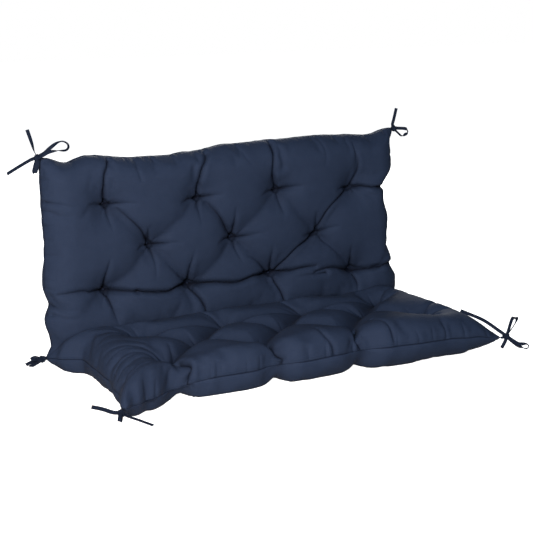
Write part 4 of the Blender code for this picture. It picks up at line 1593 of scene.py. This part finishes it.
# Threads and rumples per metre, roughness, sheen, and strength of the threads' relief
COVER_NUMBERS = (1400, 28, 0.80, 0.004, 0.5)
TAPE_NUMBERS = (2200, 90, 0.70, 0.005, 0.4)
THREAD_NUMBERS = (3000, 60, 0.6, 0.02, 0.3)
cover_cloth = woven("navy_cover_cloth", COVER_DEEP, COVER_LIT, *COVER_NUMBERS)
tape_cloth = woven("navy_tape_cloth", TAPE_DEEP, TAPE_LIT, *TAPE_NUMBERS)
thread = woven("navy_thread", THREAD_DEEP, THREAD_LIT, *THREAD_NUMBERS, mapped=False)
print("materials:", [material.name for material in (cover_cloth, tape_cloth, thread)])

# %% Give the pieces their finishes
for bow, _ in bows.values():
    bow.data.materials.clear()
    bow.data.materials.append(tape_cloth)
cover.data.materials.append(cover_cloth)
tacks = add_stitches("tuft_tacks", *tuft_places(), {"Material": thread})
CHANNEL_VALUES = {"Stitch length": 0.0055, "Strands": 1, "Turn at most": 0.05, "Material": thread}
channel_row = add_stitches("channel_stitches", *channel_places(), CHANNEL_VALUES)
for piece in (tacks, channel_row):
    print(piece.name, len(piece.data.polygons), "faces")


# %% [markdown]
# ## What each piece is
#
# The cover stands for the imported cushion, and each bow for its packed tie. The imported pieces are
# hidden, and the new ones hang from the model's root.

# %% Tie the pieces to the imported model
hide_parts("cushion")
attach(cover, "root")
for tie_name, (bow, tape_length) in bows.items():
    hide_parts(tie_name)
    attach(bow, "root")
for piece in (tacks, channel_row):
    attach(piece, "root")

# %% [markdown]
# ## The studio
#
# A plain pale floor with no horizon, a white surround that lights the cloth only a little and a
# touch blue, and four soft lamps: the key at the left front, a weak one overhead, a small warm one
# low at the left, which gives the crowns their greyer tone, and one behind, so that the rear side
# shows too.

# %% Floor, surround and lamps
FLOOR_SIZE = 24.0
FLOOR_DROP = 0.0005
FLOOR_COLOUR = (0.62, 0.62, 0.62, 1)
FLOOR_ROUGHNESS = 0.9
SURROUND_COLOUR = (0.2, 0.7, 1.4, 1)
SURROUND_STRENGTH = 0.045
SEEN_COLOUR = (1.0, 1.0, 1.0, 1)
SEEN_MORE = 0.955
FLOOR_SEEN_MORE = 1.65
LAMPS = [
    # name, power in watts, size, colour, place, place it shines at
    ("key", 252.0, 1.0, (0.93, 0.98, 1.0), (-2.1, -2.7, 1.7), (0.0, 0.0, 0.3)),
    ("top", 16.0, 1.6, (1.0, 1.0, 1.0), (-0.6, -1.0, 2.8), (0.0, 0.0, 0.3)),
    ("warm", 36.0, 0.8, (1.0, 0.55, 0.30), (-1.5, -1.5, 0.9), (-0.2, 0.0, 0.3)),
    ("rear", 140.0, 1.6, (1.0, 1.0, 1.0), (1.8, 3.2, 1.6), (0.0, 0.0, 0.3)),
]


def add_studio():
    """The floor, the surround and the lamps. What the camera sees of the first two is brighter and
    whiter than the light that they give."""
    plane = bmesh.new()
    bmesh.ops.create_grid(plane, x_segments=1, y_segments=1, size=FLOOR_SIZE / 2)
    bmesh.ops.translate(plane, verts=plane.verts, vec=(0, 0, -FLOOR_DROP))
    floor = add_smooth("floor", plane)
    paint = bpy.data.materials.new("floor_paint")
    paint.use_nodes = True
    tree = paint.node_tree
    seen = add_node(tree, "ShaderNodeLightPath").outputs["Is Camera Ray"]
    finish = {
        "Base Color": FLOOR_COLOUR,
        "Roughness": FLOOR_ROUGHNESS,
        "Emission Color": FLOOR_COLOUR,
        "Emission Strength": math_node(tree, "MULTIPLY", seen, FLOOR_SEEN_MORE),
    }
    set_inputs(tree, tree.nodes["Principled BSDF"], finish)
    floor.data.materials.append(paint)

    world = bpy.data.worlds.new("surround")
    bpy.context.scene.world = world
    world.use_nodes = True
    tree = world.node_tree
    seen = add_node(tree, "ShaderNodeLightPath").outputs["Is Camera Ray"]
    light = {
        "Color": mix_colour(tree, seen, SURROUND_COLOUR, SEEN_COLOUR),
        "Strength": math_node(tree, "MULTIPLY_ADD", seen, SEEN_MORE, SURROUND_STRENGTH),
    }
    set_inputs(tree, tree.nodes["Background"], light)
    bpy.context.scene.view_settings.view_transform = "Standard"
    for name, power, size, colour, place, target in LAMPS:
        lamp = add_to_scene(name, bpy.data.lights.new(name, "AREA"))
        lamp.data.energy = power
        lamp.data.size = size
        lamp.data.color = colour
        lamp.location = place
        lamp.rotation_mode = "QUATERNION"
        lamp.rotation_quaternion = (Vector(target) - Vector(place)).to_track_quat("-Z", "Y")


add_studio()
